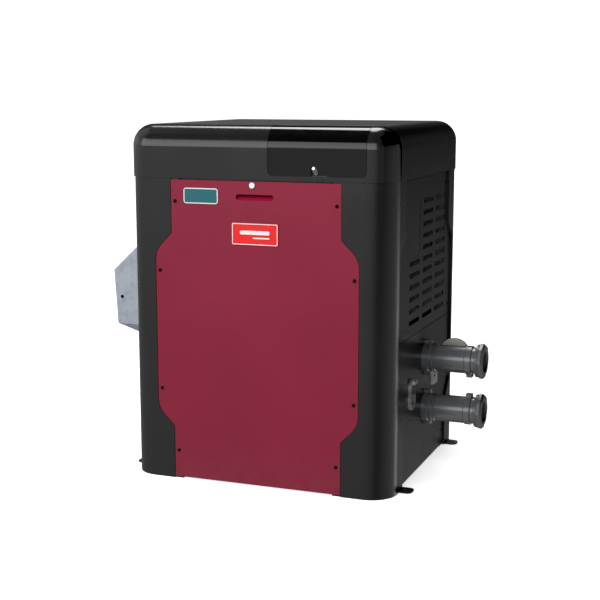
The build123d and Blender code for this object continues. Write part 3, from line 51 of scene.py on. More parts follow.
class Finish:
    """A node-based finish; every pattern is laid out in metres, in the frame of the object itself."""

    INPUTS = {
        "colour": "Base Color",
        "rough": "Roughness",
        "metal": "Metallic",
        "normal": "Normal",
        "coat": "Coat Weight",
        "coat_rough": "Coat Roughness",
        "specular": "Specular IOR Level",
        "emission": "Emission Color",
        "emission_strength": "Emission Strength",
    }

    def __init__(self, name):
        self.material = bpy.data.materials.new(name)
        self.material.use_nodes = True
        self.tree = self.material.node_tree
        self.tree.nodes.clear()
        output = self.add("ShaderNodeOutputMaterial")
        self.shader = self.add("ShaderNodeBsdfPrincipled")
        self.join(self.shader.outputs["BSDF"], output.inputs["Surface"])
        self.place = self.add("ShaderNodeTexCoord").outputs["Object"]

    def add(self, kind, **settings):
        node = self.tree.nodes.new(kind)
        for key, value in settings.items():
            setattr(node, key, value)
        return node

    def join(self, source, target):
        self.tree.links.new(source, target)

    def give(self, socket, value):
        """Feeds a number, a colour or another node's socket into a socket."""
        if isinstance(value, bpy.types.NodeSocket):
            self.join(value, socket)
        elif isinstance(value, (tuple, list)) and len(value) == 3 and socket.type == "RGBA":
            socket.default_value = (*value, 1.0)
        else:
            socket.default_value = value

    def stretched(self, stretch):
        """The place, scaled per axis, so that a pattern runs long or short along an axis."""
        node = self.add("ShaderNodeVectorMath", operation="MULTIPLY")
        self.join(self.place, node.inputs[0])
        node.inputs[1].default_value = stretch
        return node.outputs[0]

    def noise(self, size, detail=3.0, roughness=0.55, stretch=(1.0, 1.0, 1.0)):
        """Soft random value; size is the width of one feature in metres."""
        node = self.add("ShaderNodeTexNoise")
        self.join(self.stretched(stretch), node.inputs["Vector"])
        node.inputs["Scale"].default_value = 1.0 / size
        node.inputs["Detail"].default_value = detail
        node.inputs["Roughness"].default_value = roughness
        return node.outputs["Fac"]

    def cells(self, size, stretch=(1.0, 1.0, 1.0)):
        """Random value that is constant over each crystal-like cell."""
        node = self.add("ShaderNodeTexVoronoi")
        self.join(self.stretched(stretch), node.inputs["Vector"])
        node.inputs["Scale"].default_value = 1.0 / size
        apart = self.add("ShaderNodeSeparateColor")
        self.join(node.outputs["Color"], apart.inputs[0])
        return apart.outputs[0]

    def span(self, value, low, high, start=0.3, end=0.7):
        """Maps a value's start..end onto low..high, clamped."""
        node = self.add("ShaderNodeMapRange")
        self.give(node.inputs["Value"], value)
        node.inputs["From Min"].default_value = start
        node.inputs["From Max"].default_value = end
        node.inputs["To Min"].default_value = low
        node.inputs["To Max"].default_value = high
        return node.outputs["Result"]

    def combine(self, a, b, operation="ADD"):
        """One number made of two."""
        node = self.add("ShaderNodeMath", operation=operation)
        self.give(node.inputs[0], a)
        self.give(node.inputs[1], b)
        return node.outputs[0]

    def blend(self, factor, a, b):
        """Colour a where factor is 0, colour b where it is 1."""
        node = self.add("ShaderNodeMix", data_type="RGBA")
        self.give(node.inputs["Factor"], factor)
        self.give(node.inputs[6], a)
        self.give(node.inputs[7], b)
        return node.outputs[2]

    def upward(self):
        """1 on faces that look up, 0 on upright faces: where dust settles."""
        apart = self.add("ShaderNodeSeparateXYZ")
        self.join(self.add("ShaderNodeNewGeometry").outputs["Normal"], apart.inputs[0])
        return self.span(apart.outputs["Z"], low=0.0, high=1.0, start=0.5, end=0.98)

    def height(self):
        """Metres above the ground."""
        apart = self.add("ShaderNodeSeparateXYZ")
        self.join(self.place, apart.inputs[0])
        return apart.outputs["Z"]

    def fan(self, node, painted_sheen_angle, spokes=4.0):
        """0 to 1 round the X axis of a turned piece: the mask of a painted fan of light, as a lathe's
        rings throw back.
        """
        low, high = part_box(node)
        centre = (low + high) / 2
        apart = self.add("ShaderNodeSeparateXYZ")
        self.join(self.place, apart.inputs[0])
        across = self.combine(apart.outputs["Y"], centre.y, "SUBTRACT")
        up = self.combine(apart.outputs["Z"], centre.z, "SUBTRACT")
        turn = self.combine(
            self.combine(up, across, "ARCTAN2"), math.radians(painted_sheen_angle), "SUBTRACT"
        )
        wave = self.add("ShaderNodeMath", operation="COSINE")
        self.join(self.combine(turn, spokes, "MULTIPLY"), wave.inputs[0])
        return self.span(wave.outputs[0], low=0.0, high=1.0, start=-1.0, end=1.0)

    def bump(self, height, depth, strength=1.0, under=None):
        """Raises the surface by depth metres where height is 1."""
        node = self.add("ShaderNodeBump")
        node.inputs["Strength"].default_value = strength
        node.inputs["Distance"].default_value = depth
        self.join(height, node.inputs["Height"])
        if under is not None:
            self.join(under, node.inputs["Normal"])
        return node.outputs["Normal"]

    def set(self, **inputs):
        """Feeds the shader's inputs, by the short names above."""
        for key, value in inputs.items():
            self.give(self.shader.inputs[self.INPUTS[key]], value)


def from_screen(red, green, blue):
    """Linear colour for display values of 0 to 255."""
    return tuple(
        c / 12.92 if c <= 0.04045 else ((c + 0.055) / 1.055) ** 2.4
        for c in (red / 255, green / 255, blue / 255)
    )


def scaled(colour, share):
    """The colour, lighter or darker."""
    return tuple(min(1.0, c * share) for c in colour)


DUST = from_screen(150, 144, 134)
GRIME = from_screen(120, 108, 98)
ZINC_BLOOM = from_screen(196, 199, 202)
STRAW_TINT = from_screen(146, 112, 74)
BLUE_TINT = from_screen(74, 84, 112)
SCORCH = from_screen(122, 104, 84)


def moulding(name, colour, rough, grain, dust, specular=0.5, waviness=0.0):
    """Moulded plastic: pebbled grain, slow changes of shade and gloss, fine scuffs, settled dust."""
    f = Finish(name)
    slow = f.noise(size=0.16, detail=3.0)
    fine = f.noise(size=0.0011, detail=2.0, roughness=0.6)
    speckle = f.noise(size=0.004, detail=4.0, roughness=0.7)
    shade = f.blend(f.span(slow, low=0.0, high=1.0), scaled(colour, 0.86), scaled(colour, 1.14))
    speckle = f.span(speckle, low=0.0, high=0.35, start=0.45, end=0.75)
    shade = f.blend(speckle, shade, scaled(colour, 1.45))
    scuff = f.noise(size=0.0035, detail=5.0, roughness=0.65, stretch=(1.0, 1.0, 0.12))
    scuffed = f.span(scuff, low=0.0, high=0.5, start=0.62, end=0.78)
    shade = f.blend(f.combine(scuffed, 0.25, "MULTIPLY"), shade, scaled(colour, 2.2))
    settled = f.noise(size=0.03, detail=5.0, roughness=0.65)
    settled = f.span(settled, low=0.0, high=dust, start=0.35, end=0.7)
    settled = f.combine(f.upward(), settled, "MULTIPLY")
    shade = f.blend(settled, shade, DUST)
    gloss = f.combine(
        f.span(slow, low=rough * 0.9, high=rough * 1.1), f.combine(scuffed, 0.16, "MULTIPLY")
    )
    gloss = f.combine(gloss, f.combine(settled, 0.5, "MULTIPLY"))
    normal = f.bump(fine, depth=grain, strength=0.6)
    if waviness:
        normal = f.bump(f.noise(size=0.09, detail=1.0), depth=waviness, strength=1.0, under=normal)
    f.set(colour=shade, rough=gloss, normal=normal, specular=specular)
    return f.material


def painted_sheet(name, colour, rough, coat, specular):
    """Powder-coated sheet: orange-peel texture, faint shade drift and streaks, and dust at the foot."""
    f = Finish(name)
    slow = f.noise(size=0.22, detail=2.0)
    peel = f.noise(size=0.0016, detail=2.0, roughness=0.45)
    tooth = f.noise(size=0.0005, detail=1.0)
    shade = f.blend(f.span(slow, low=0.0, high=1.0), scaled(colour, 0.93), scaled(colour, 1.07))
    speckle = f.noise(size=0.0022, detail=3.0, roughness=0.7)
    speckle = f.span(speckle, low=0.0, high=0.22, start=0.5, end=0.72)
    shade = f.blend(speckle, shade, scaled(colour, 0.7))
    foot = f.span(f.height(), low=1.0, high=0.0, start=0.0, end=0.12)
    grime = f.noise(size=0.02, detail=5.0, roughness=0.7)
    grime = f.span(grime, low=0.0, high=0.08, start=0.35, end=0.72)
    grime = f.combine(foot, grime, "MULTIPLY")
    shade = f.blend(grime, shade, GRIME)
    streak = f.noise(size=0.012, detail=4.0, roughness=0.6, stretch=(1.0, 1.0, 0.05))
    streak = f.span(streak, low=0.0, high=0.05, start=0.5, end=0.75)
    shade = f.blend(streak, shade, scaled(colour, 0.45))
    gloss = f.combine(
        f.span(slow, low=rough * 0.92, high=rough * 1.08), f.combine(grime, 1.4, "MULTIPLY")
    )
    normal = f.bump(peel, depth=0.00005, strength=0.7)
    normal = f.bump(tooth, depth=0.00001, strength=0.5, under=normal)
    f.set(
        colour=shade,
        rough=gloss,
        normal=normal,
        coat=coat,
        coat_rough=rough * 0.45,
        specular=specular,
    )
    return f.material


def galvanised(name, colour, rough):
    """Hot-dip galvanised sheet: crystal spangle, faint upright roll lines, patches of white bloom."""
    f = Finish(name)
    spangle = f.cells(size=0.011)
    small = f.cells(size=0.0045)
    rolled = f.noise(size=0.004, detail=3.0, roughness=0.6, stretch=(1.0, 1.0, 0.03))
    mix = f.combine(f.combine(spangle, 0.6, "MULTIPLY"), f.combine(small, 0.4, "MULTIPLY"))
    crystal = f.span(mix, low=0.0, high=1.0, start=0.1, end=0.9)
    shade = f.blend(crystal, scaled(colour, 0.84), scaled(colour, 1.12))
    lines = f.span(rolled, low=0.0, high=0.45, start=0.35, end=0.7)
    shade = f.blend(lines, shade, scaled(colour, 1.2))
    bloom = f.noise(size=0.05, detail=5.0, roughness=0.65)
    bloom = f.span(bloom, low=0.0, high=0.35, start=0.5, end=0.75)
    shade = f.blend(bloom, shade, ZINC_BLOOM)
    gloss = f.span(mix, low=rough * 0.8, high=rough * 1.2, start=0.1, end=0.9)
    gloss = f.combine(gloss, f.combine(bloom, 0.5, "MULTIPLY"))
    normal = f.bump(spangle, depth=0.00003, strength=0.5)
    normal = f.bump(rolled, depth=0.00002, strength=0.5, under=normal)
    f.set(colour=shade, rough=gloss, metal=0.75, normal=normal)
    return f.material


def bare_metal(name, colour, rough, scratch, stain, lay=(1.0, 1.0, 0.1), metal=1.0):
    """Bare or plated metal with a lay of fine scratches, handling marks and uneven tarnish."""
    f = Finish(name)
    lines = f.noise(size=0.0009, detail=3.0, roughness=0.65, stretch=lay)
    slow = f.noise(size=0.02, detail=4.0, roughness=0.6)
    shade = f.blend(f.span(lines, low=0.0, high=1.0), scaled(colour, 0.82), scaled(colour, 1.1))
    tarnish = f.span(slow, low=0.0, high=stain, start=0.42, end=0.7)
    shade = f.blend(tarnish, shade, scaled(colour, 0.35))
    gloss = f.span(lines, low=rough * 0.75, high=rough * 1.25)
    gloss = f.combine(gloss, f.combine(tarnish, 0.6, "MULTIPLY"))
    normal = f.bump(lines, depth=scratch, strength=0.8)
    f.set(colour=shade, rough=gloss, metal=metal, normal=normal)
    return f.material


def turned_face(name, colour, rough, node):
    """Lathe-turned metal: fine rings, and a painted highlight and shade in a fan round the axis."""
    f = Finish(name)
    rings = f.noise(size=0.0009, detail=3.0, roughness=0.65)
    stain = f.noise(size=0.012, detail=4.0, roughness=0.6)
    stain = f.span(stain, low=0.0, high=0.2, start=0.42, end=0.7)
    # Painted highlight and shade: the colour runs from a dark to a bright share of the base in a fan
    # round the axis.
    shade = f.blend(f.fan(node, painted_sheen_angle=84.0), scaled(colour, 0.16), scaled(colour, 1.1))
    shade = f.blend(f.span(rings, low=0.0, high=0.35), shade, scaled(colour, 0.6))
    shade = f.blend(stain, shade, scaled(colour, 0.35))
    gloss = f.span(rings, low=rough * 0.8, high=rough * 1.2)
    f.set(colour=shade, rough=gloss, metal=0.3, normal=f.bump(rings, depth=0.00002, strength=0.8))
    return f.material


def heated_metal(name, colour, rough, blue, scale=0.08):
    """Metal that has seen flame: straw and blue heat tint in soft bands over a scratched base."""
    f = Finish(name)
    lines = f.noise(size=0.0014, detail=3.0, roughness=0.6, stretch=(0.2, 1.0, 1.0))
    heat = f.noise(size=scale, detail=3.0, roughness=0.5)
    shade = f.blend(f.span(lines, low=0.0, high=1.0), scaled(colour, 0.8), scaled(colour, 1.1))
    shade = f.blend(f.span(heat, low=0.0, high=0.55, start=0.4, end=0.6), shade, STRAW_TINT)
    shade = f.blend(f.span(heat, low=0.0, high=blue, start=0.56, end=0.72), shade, BLUE_TINT)
    gloss = f.span(heat, low=rough * 0.8, high=rough * 1.3)
    normal = f.bump(lines, depth=0.00002, strength=0.6)
    f.set(colour=shade, rough=gloss, metal=1.0, normal=normal)
    return f.material


def rubber(name, colour):
    """Soft rubber: matt, with a pale bloom in patches."""
    f = Finish(name)
    fine = f.noise(size=0.0008, detail=3.0, roughness=0.6)
    bloom = f.noise(size=0.012, detail=4.0, roughness=0.6)
    bloom = f.span(bloom, low=0.0, high=0.3, start=0.5, end=0.75)
    shade = f.blend(bloom, colour, scaled(colour, 3.0))
    gloss = f.span(fine, low=0.62, high=0.85)
    normal = f.bump(fine, depth=0.00004, strength=0.7)
    f.set(colour=shade, rough=gloss, normal=normal, specular=0.35)
    return f.material


def fibre_board(name, colour):
    """Pressed ceramic fibre: a soft lumpy face with scorched patches."""
    f = Finish(name)
    fuzz = f.noise(size=0.0016, detail=6.0, roughness=0.75)
    lumps = f.noise(size=0.018, detail=3.0, roughness=0.5)
    scorch = f.noise(size=0.07, detail=3.0, roughness=0.6)
    scorch = f.span(scorch, low=0.0, high=0.5, start=0.5, end=0.75)
    shade = f.blend(f.span(fuzz, low=0.0, high=1.0), scaled(colour, 0.8), scaled(colour, 1.05))
    shade = f.blend(scorch, shade, SCORCH)
    normal = f.bump(fuzz, depth=0.0006, strength=0.8)
    normal = f.bump(lumps, depth=0.0012, strength=0.6, under=normal)
    f.set(colour=shade, rough=0.95, normal=normal, specular=0.15)
    return f.material


def enamel(name, colour, rough, coat=0.4, specular=0.5):
    """Thick paint or glazed ceramic: slight waviness, small shade changes and a soft haze."""
    f = Finish(name)
    wave = f.noise(size=0.006, detail=2.0, roughness=0.4)
    haze = f.noise(size=0.01, detail=4.0, roughness=0.6)
    haze = f.span(haze, low=0.0, high=0.2, start=0.45, end=0.7)
    shade = f.blend(f.span(wave, low=0.0, high=1.0), scaled(colour, 0.9), scaled(colour, 1.06))
    shade = f.blend(haze, shade, scaled(colour, 0.6))
    gloss = f.combine(haze, rough)
    normal = f.bump(wave, depth=0.00006, strength=0.5)
    f.set(colour=shade, rough=gloss, coat=coat, coat_rough=0.12, specular=specular, normal=normal)
    return f.material


def circuit_board(name):
    """Solder-masked board: copper traces show as a lighter green under the mask, with tinned pads."""
    f = Finish(name)
    tracks = f.add("ShaderNodeTexBrick", offset=0.35, squash=0.6)
    f.join(f.stretched((1.0, 1.0, 0.0)), tracks.inputs["Vector"])
    tracks.inputs["Scale"].default_value = 55.0
    tracks.inputs["Mortar Size"].default_value = 0.035
    tracks.inputs["Color1"].default_value = (*from_screen(24, 74, 46), 1.0)
    tracks.inputs["Color2"].default_value = (*from_screen(20, 64, 42), 1.0)
    tracks.inputs["Mortar"].default_value = (*from_screen(58, 122, 78), 1.0)
    pads = f.span(f.cells(size=0.0026), low=0.0, high=1.0, start=0.93, end=0.95)
    shade = f.blend(pads, tracks.outputs["Color"], from_screen(196, 198, 190))
    normal = f.bump(tracks.outputs["Fac"], depth=0.00003, strength=0.8)
    f.set(colour=shade, rough=0.32, metal=f.combine(pads, 0.8, "MULTIPLY"), normal=normal, coat=0.3)
    return f.material


def printed_plate(name, colour):
    """Printed nameplate stock: satin ink with a fine print screen and faint rub lines."""
    f = Finish(name)
    screen = f.noise(size=0.0005, detail=1.0)
    rub = f.noise(size=0.003, detail=4.0, roughness=0.7, stretch=(0.1, 1.0, 1.0))
    rub = f.span(rub, low=0.0, high=0.14, start=0.55, end=0.75)
    shade = f.blend(f.span(screen, low=0.0, high=1.0), scaled(colour, 0.94), scaled(colour, 1.04))
    shade = f.blend(rub, shade, scaled(colour, 0.75))
    normal = f.bump(screen, depth=0.00001, strength=0.5)
    f.set(colour=shade, rough=f.combine(rub, 0.4), normal=normal)
    return f.material


def screen_glass(name):
    """Display window, switched off: dark greenish glass with finger smears."""
    f = Finish(name)
    smear = f.noise(size=0.012, detail=5.0, roughness=0.7, stretch=(1.0, 0.3, 1.0))
    smear = f.span(smear, low=0.0, high=0.25, start=0.45, end=0.75)
    shade = f.blend(smear, from_screen(40, 52, 44), from_screen(64, 76, 66))
    f.set(colour=shade, rough=f.combine(smear, 0.05), coat=1.0, coat_rough=0.03, specular=0.6)
    return f.material


BURGUNDY = (0.178, 0.001, 0.021)
PLATE_RED = (0.62, 0.002, 0.004)
PLATE_WHITE = (0.6, 0.64, 0.64)

finishes = {
    "post_moulding": moulding(
        "moulded_post", from_screen(15, 13, 13), rough=0.28, grain=0.00004, dust=0.06
    ),
    "lid_moulding": moulding(
        "moulded_lid",
        from_screen(22, 21, 21),
        rough=0.165,
        grain=0.000003,
        dust=0.02,
        specular=0.6,
        waviness=0.00002,
    ),
    "cover_moulding": moulding(
        "moulded_cover", from_screen(3, 3, 4), rough=0.05, grain=0.000002, dust=0.02, specular=0.5
    ),
    "burgundy_panel": painted_sheet("burgundy_paint", BURGUNDY, rough=0.38, coat=0.0, specular=0.4),
    "dark_panel": painted_sheet(
        "charcoal_paint", from_screen(18, 17, 17), rough=0.26, coat=0.0, specular=0.3
    ),
    "galvanised_sheet": galvanised("galvanised_zinc", from_screen(160, 166, 177), rough=0.42),
    "black_steel": painted_sheet(
        "black_foot_paint", from_screen(20, 20, 21), rough=0.5, coat=0.1, specular=0.4
    ),
    "black_fastener": enamel(
        "black_screw", from_screen(3, 3, 3), rough=0.5, coat=0.0, specular=0.12
    ),
    "bright_fastener": bare_metal(
        "bright_plating",
        from_screen(246, 246, 244),
        rough=0.3,
        scratch=0.000006,
        stain=0.03,
        lay=(1.0, 1.0, 0.1),
        metal=0.15,
    ),
    "zinc_fastener": bare_metal(
        "zinc_plating", from_screen(196, 198, 200), rough=0.3, scratch=0.00001, stain=0.2
    ),
    "badge_red": printed_plate("badge_red_ink", PLATE_RED),
    "trim_teal": printed_plate("trim_white_ink", PLATE_WHITE),
    "pipe_polymer": moulding(
        "pipe_polymer", from_screen(88, 91, 94), rough=0.2, grain=0.000005, dust=0.03, specular=1.0
    ),
    "nut_polymer": moulding(
        "nut_polymer", from_screen(82, 84, 86), rough=0.3, grain=0.00001, dust=0.03, specular=0.7
    ),
    "header_polymer": moulding(
        "header_polymer", from_screen(36, 37, 40), rough=0.5, grain=0.00012, dust=0.2
    ),
    "gasket_rubber": rubber("gasket_rubber", from_screen(22, 21, 20)),
    "turned_metal": turned_face(
        "turned_alloy", from_screen(240, 240, 228), rough=0.35, node="bypass_cap"
    ),
    "valve_brass": bare_metal(
        "valve_bronze",
        from_screen(196, 195, 190),
        rough=0.3,
        scratch=0.00003,
        stain=0.7,
        lay=(0.2, 1.0, 1.0),
        metal=0.45,
    ),
    "lever_steel": bare_metal(
        "lever_steel", from_screen(100, 102, 106), rough=0.28, scratch=0.00001, stain=0.12
    ),
    "lug_tin": bare_metal(
        "lug_tin",
        from_screen(236, 236, 230),
        rough=0.5,
        scratch=0.00002,
        stain=0.08,
        lay=(1.0, 1.0, 0.1),
        metal=0.3,
    ),
    "copper_tube": heated_metal(
        "copper_fin", from_screen(190, 112, 78), rough=0.34, blue=0.3, scale=0.05
    ),
    "heater_steel": heated_metal(
        "aluminised_steel", from_screen(164, 166, 168), rough=0.4, blue=0.18
    ),
    "burner_steel": heated_metal(
        "burner_steel", from_screen(150, 150, 152), rough=0.32, blue=0.6, scale=0.05
    ),
    "ceramic_board": fibre_board("ceramic_fibre", from_screen(224, 218, 206)),
    "ceramic": enamel("glazed_ceramic", from_screen(236, 232, 222), rough=0.2),
    "gas_pipe": painted_sheet(
        "black_iron_pipe", from_screen(34, 32, 32), rough=0.55, coat=0.05, specular=0.4
    ),
    "valve_alloy": bare_metal(
        "cast_alloy",
        from_screen(158, 160, 162),
        rough=0.45,
        scratch=0.00012,
        stain=0.2,
        lay=(1.0, 1.0, 1.0),
    ),
    "knob_red": enamel("knob_red", from_screen(176, 26, 24), rough=0.3),
    "motor_enamel": enamel("motor_enamel", from_screen(26, 28, 32), rough=0.35),
    "wheel_steel": bare_metal(
        "wheel_steel",
        from_screen(168, 172, 176),
        rough=0.35,
        scratch=0.00002,
        stain=0.15,
        lay=(1.0, 1.0, 0.3),
    ),
    "keypad_plastic": moulding(
        "keypad_plastic", from_screen(30, 31, 34), rough=0.4, grain=0.00006, dust=0.15
    ),
    "button_grey": moulding(
        "button_grey", from_screen(150, 152, 154), rough=0.45, grain=0.00004, dust=0.05
    ),
    "screen_glass": screen_glass("screen_glass"),
    "board_green": circuit_board("circuit_board"),
    "wire_sleeve": enamel("wire_sleeve", from_screen(28, 28, 30), rough=0.5, coat=0.1),
}

for node in nodes.values():
    slot_name = node.data.materials[0].name.split(".")[0]
    node.data.materials[0] = finishes[slot_name]


# ---------------------------------------------------------------- pieces made here


def add_piece(name, form, finish, body):
    """Turns a shape, drawn in its place at rest, into a piece that rides on a CAD body."""
    bmesh.ops.recalc_face_normals(form, faces=form.faces)
    mesh = bpy.data.meshes.new(name)
    form.to_mesh(mesh)
    form.free()
    mesh.materials.append(finish)
    piece = bpy.data.objects.new(name, mesh)
    bpy.context.scene.collection.objects.link(piece)
    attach(piece, body)
    return piece


# ---------------------------------------------------------------- printed plates

OUTLINE_STEPS = 8
PRINT_DEPTH = 0.25 * MM
PALE_INK = (0.66, 0.62, 0.6)
TEAL_INK = (0.002, 0.085, 0.105)
RIM_OUTER = 0.9 * MM
RIM_INNER = 2.6 * MM
RIM_RADIUS = 3.0 * MM
FIELD_INSET = 2.2 * MM
FIELD_RADIUS = 3.0 * MM

# Left, right, bottom and top of each bar on the badge, as shares of the plate.
BADGE_BARS = ((0.18, 0.82, 0.48, 0.66), (0.46, 0.82, 0.3, 0.36))
BAR_ROUND = 0.4


def rounded(left, right, low, high, radius):
    """Points round a rectangle with rounded corners, as (x, z)."""
    points = []
    corners = ((right, high, 0), (left, high, 1), (left, low, 2), (right, low, 3))
    for x, z, quarter in corners:
        x -= radius if x == right else -radius
        z -= radius if z == high else -radius
        for step in range(OUTLINE_STEPS + 1):
            turn = math.radians(90.0 * (quarter + step / OUTLINE_STEPS))
            points.append((x + radius * math.cos(turn), z + radius * math.sin(turn)))
    return points


def within(low, high, inset, radius):
    """The rounded outline that lies an inset inside a plate's box."""
    return rounded(low.x + inset, high.x - inset, low.z + inset, high.z - inset, radius)


def printed(name, shapes, back, finish):
    """Raised print on the front panel; each shape is an outline and, for a rim, an inner outline."""
    form = bmesh.new()
    for outer, inner in shapes:
        rings = [outer] if inner is None else [outer, inner]
        walls = []
        for ring in rings:
            front = [form.verts.new((x, back - PRINT_DEPTH, z)) for x, z in ring]
            rear = [form.verts.new((x, back + PRINT_DEPTH, z)) for x, z in ring]
            for i in range(len(ring)):
                j = (i + 1) % len(ring)
                form.faces.new((front[i], front[j], rear[j], rear[i]))
            walls.append((front, rear))
        for side in (0, 1):
            if inner is None:
                form.faces.new(walls[0][side])
                continue
            a, b = walls[0][side], walls[1][side]
            for i in range(len(a)):
                j = (i + 1) % len(a)
                form.faces.new((a[i], a[j], b[j], b[i]))
    add_piece(name, form, finish, "front_panel")


def badge_print():
    """A pale rim and two plain bars on the red plate."""
    low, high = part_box("badge_plate")
    wide, tall = high.x - low.x, high.z - low.z
    rim = (
        within(low, high, RIM_OUTER, RIM_RADIUS),
        within(low, high, RIM_INNER, RIM_RADIUS - RIM_INNER + RIM_OUTER),
    )
    bars = []
    for left, right, bottom, top in BADGE_BARS:
        across = (low.x + left * wide, low.x + right * wide)
        upright = (low.z + bottom * tall, low.z + top * tall)
        bars.append((rounded(*across, *upright, (top - bottom) * tall * BAR_ROUND), None))
    ink = printed_plate("pale_badge_ink", PALE_INK)
    printed("badge_print", [rim, *bars], low.y, ink)


def trim_print():
    """A plain teal field that leaves a white rim round the trim plate."""
    low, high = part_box("trim_plate")
    field = within(low, high, FIELD_INSET, FIELD_RADIUS)
    ink = printed_plate("teal_ink", TEAL_INK)
    printed("trim_print", [(field, None)], low.y, ink)


# ---------------------------------------------------------------- lid seal

SEAL_HALF = 178.0 * MM
SEAL_STEPS = 60
SEAL_DEPTH = (279.4 * MM, 287.2 * MM)
SEAL_HEIGHT = (675.0 * MM, 683.8 * MM)
SEAL_ROUND = 1.8 * MM
SEAL_WAVE = 0.15 * MM


def lid_seal():
    """Soft strip that closes the gap between the rear panel and the lid's lip."""
    section = rounded(*SEAL_DEPTH, *SEAL_HEIGHT, SEAL_ROUND)
    form = bmesh.new()
    rings = []
    for step in range(SEAL_STEPS + 1):
        x = SEAL_HALF * (2.0 * step / SEAL_STEPS - 1.0)
        sag = draw.uniform(-SEAL_WAVE, SEAL_WAVE)
        rings.append([form.verts.new((x, y, z + sag)) for y, z in section])
    for here, there in zip(rings, rings[1:]):
        for i in range(len(here)):
            j = (i + 1) % len(here)
            form.faces.new((here[i], here[j], there[j], there[i]))
    form.faces.new(rings[0])
    form.faces.new(rings[-1])
    seal = add_piece("lid_seal", form, finishes["gasket_rubber"], "cabinet")
    seal.data.shade_smooth()


# ---------------------------------------------------------------- louvre baffle

BAFFLE_FACE = 286.0 * MM
BAFFLE_EDGE = 302.4 * MM
BAFFLE_HALF = 163.0 * MM
BAFFLE_HEIGHT = (337.0 * MM, 675.0 * MM)
BAFFLE_BEND = 3.0 * MM
BAFFLE_SHEET = 1.0 * MM
BEND_STEPS = 5
PRIMER_GREY = from_screen(112, 112, 113)


def louvre_baffle():
    """A bent sheet behind the louvres that keeps rain and fingers off the works."""
    path = [(BAFFLE_EDGE, -BAFFLE_HALF)]
    for end in (-1, 1):
        for step in range(BEND_STEPS + 1):
            turn = math.radians(90.0 * step / BEND_STEPS)
            if end > 0:
                turn = math.radians(90.0) - turn
            x = BAFFLE_FACE + BAFFLE_BEND * (1.0 - math.sin(turn))
            y = end * (BAFFLE_HALF - BAFFLE_BEND * (1.0 - math.cos(turn)))
            path.append((x, y))
    path.append((BAFFLE_EDGE, BAFFLE_HALF))
    form = bmesh.new()
    rows = [[form.verts.new((x, y, z)) for x, y in path] for z in BAFFLE_HEIGHT]
    for i in range(len(path) - 1):
        form.faces.new((rows[0][i], rows[0][i + 1], rows[1][i + 1], rows[1][i]))
    primer = painted_sheet("baffle_primer", PRIMER_GREY, rough=0.5, coat=0.0, specular=0.3)
    baffle = add_piece("louvre_baffle", form, primer, "cabinet")
    sheet = baffle.modifiers.new("sheet", "SOLIDIFY")
    sheet.thickness = BAFFLE_SHEET
    sheet.offset = 0.0


badge_print()
trim_print()
lid_seal()
louvre_baffle()


# ---------------------------------------------------------------- floor, light and camera
#
# Places in metres, with the front towards -Y; angles in degrees.

GROUND_RADIUS = 30.0
GROUND_SEGMENTS = 96
GROUND_DROP = 0.5 * MM
GROUND_PATCH = 1.5
GROUND_WHITES = ((0.88, 0.88, 0.88), (0.91, 0.91, 0.91))
CAMERA_PLACE = (1.0353, -2.7341, 0.8741)
CAMERA_TURN = 20.82
CAMERA_DOWN = 9.64
CAMERA_LENS = 74.17
CAMERA_SENSOR = 36.0
CAMERA_REACH = 100.0

# The white that the camera sees behind the object, and the light that the floor gives off.
BACKDROP = 1.1
FLOOR_GLOW = 0.74

KEY_POWER = 100.0
KEY_PLACE = (-0.6, -2.0, 2.6)
KEY_AIM = (0.0, 0.0, 0.45)
KEY_SIZE = (2.4, 1.4)

# Brightness of the low surroundings by azimuth from the front, in degrees, positive to the right.
LOW_STOPS = (
    (-180.0, 0.05),
    (-100.0, 0.3),
    (-50.0, 0.5),
    (-20.0, 0.52),
    (18.0, 0.38),
    (39.0, 0.1),
    (69.0, 0.42),
    (99.0, 0.6),
    (129.0, 0.6),
    (140.0, 0.42),
    (150.0, 0.2),
    (156.0, 0.08),
    (180.0, 0.05),
)

# They fade out between these two heights, each the sine of an elevation; OVERHEAD is left above.
LOW_FADE = (0.1, 0.4)
OVERHEAD = 0.02

# Azimuth, half-width, lowest and highest elevation, soft edge and strength of each soft box.
# One with a negative strength darkens what the low surroundings put there.
SOFT_BOXES = (
    (-18.0, 40.0, 4.5, 27.0, 4.0, 2.3),
    (-159.0, 22.0, 48.0, 78.0, 4.0, 7.5),
    (173.0, 20.0, -2.0, 40.0, 3.0, -0.045),
    (-90.0, 20.0, 10.0, 50.0, 20.0, 0.5),
    (146.0, 4.0, -70.0, -10.0, 7.0, 1.5),
    (105.0, 48.0, -3.0, 60.0, 5.0, -0.33),
)


def ground():
    """Pale floor. It takes the shadow; what the object mirrors is the studio below the horizon."""
    mesh = bpy.data.meshes.new("floor")
    form = bmesh.new()
    bmesh.ops.create_circle(form, cap_ends=True, segments=GROUND_SEGMENTS, radius=GROUND_RADIUS)
    form.to_mesh(mesh)
    form.free()
    floor = bpy.data.objects.new("floor", mesh)
    bpy.context.scene.collection.objects.link(floor)
    floor.location.z = -GROUND_DROP
    floor.visible_glossy = False
    floor.visible_diffuse = False
    f = Finish("pale_floor")
    patch = f.span(f.noise(size=GROUND_PATCH, detail=2.0), low=0.0, high=1.0)
    f.set(colour=f.blend(patch, *GROUND_WHITES), rough=0.9, specular=0.0)
    f.set(emission=(1.0, 1.0, 1.0), emission_strength=FLOOR_GLOW)
    mesh.materials.append(f.material)


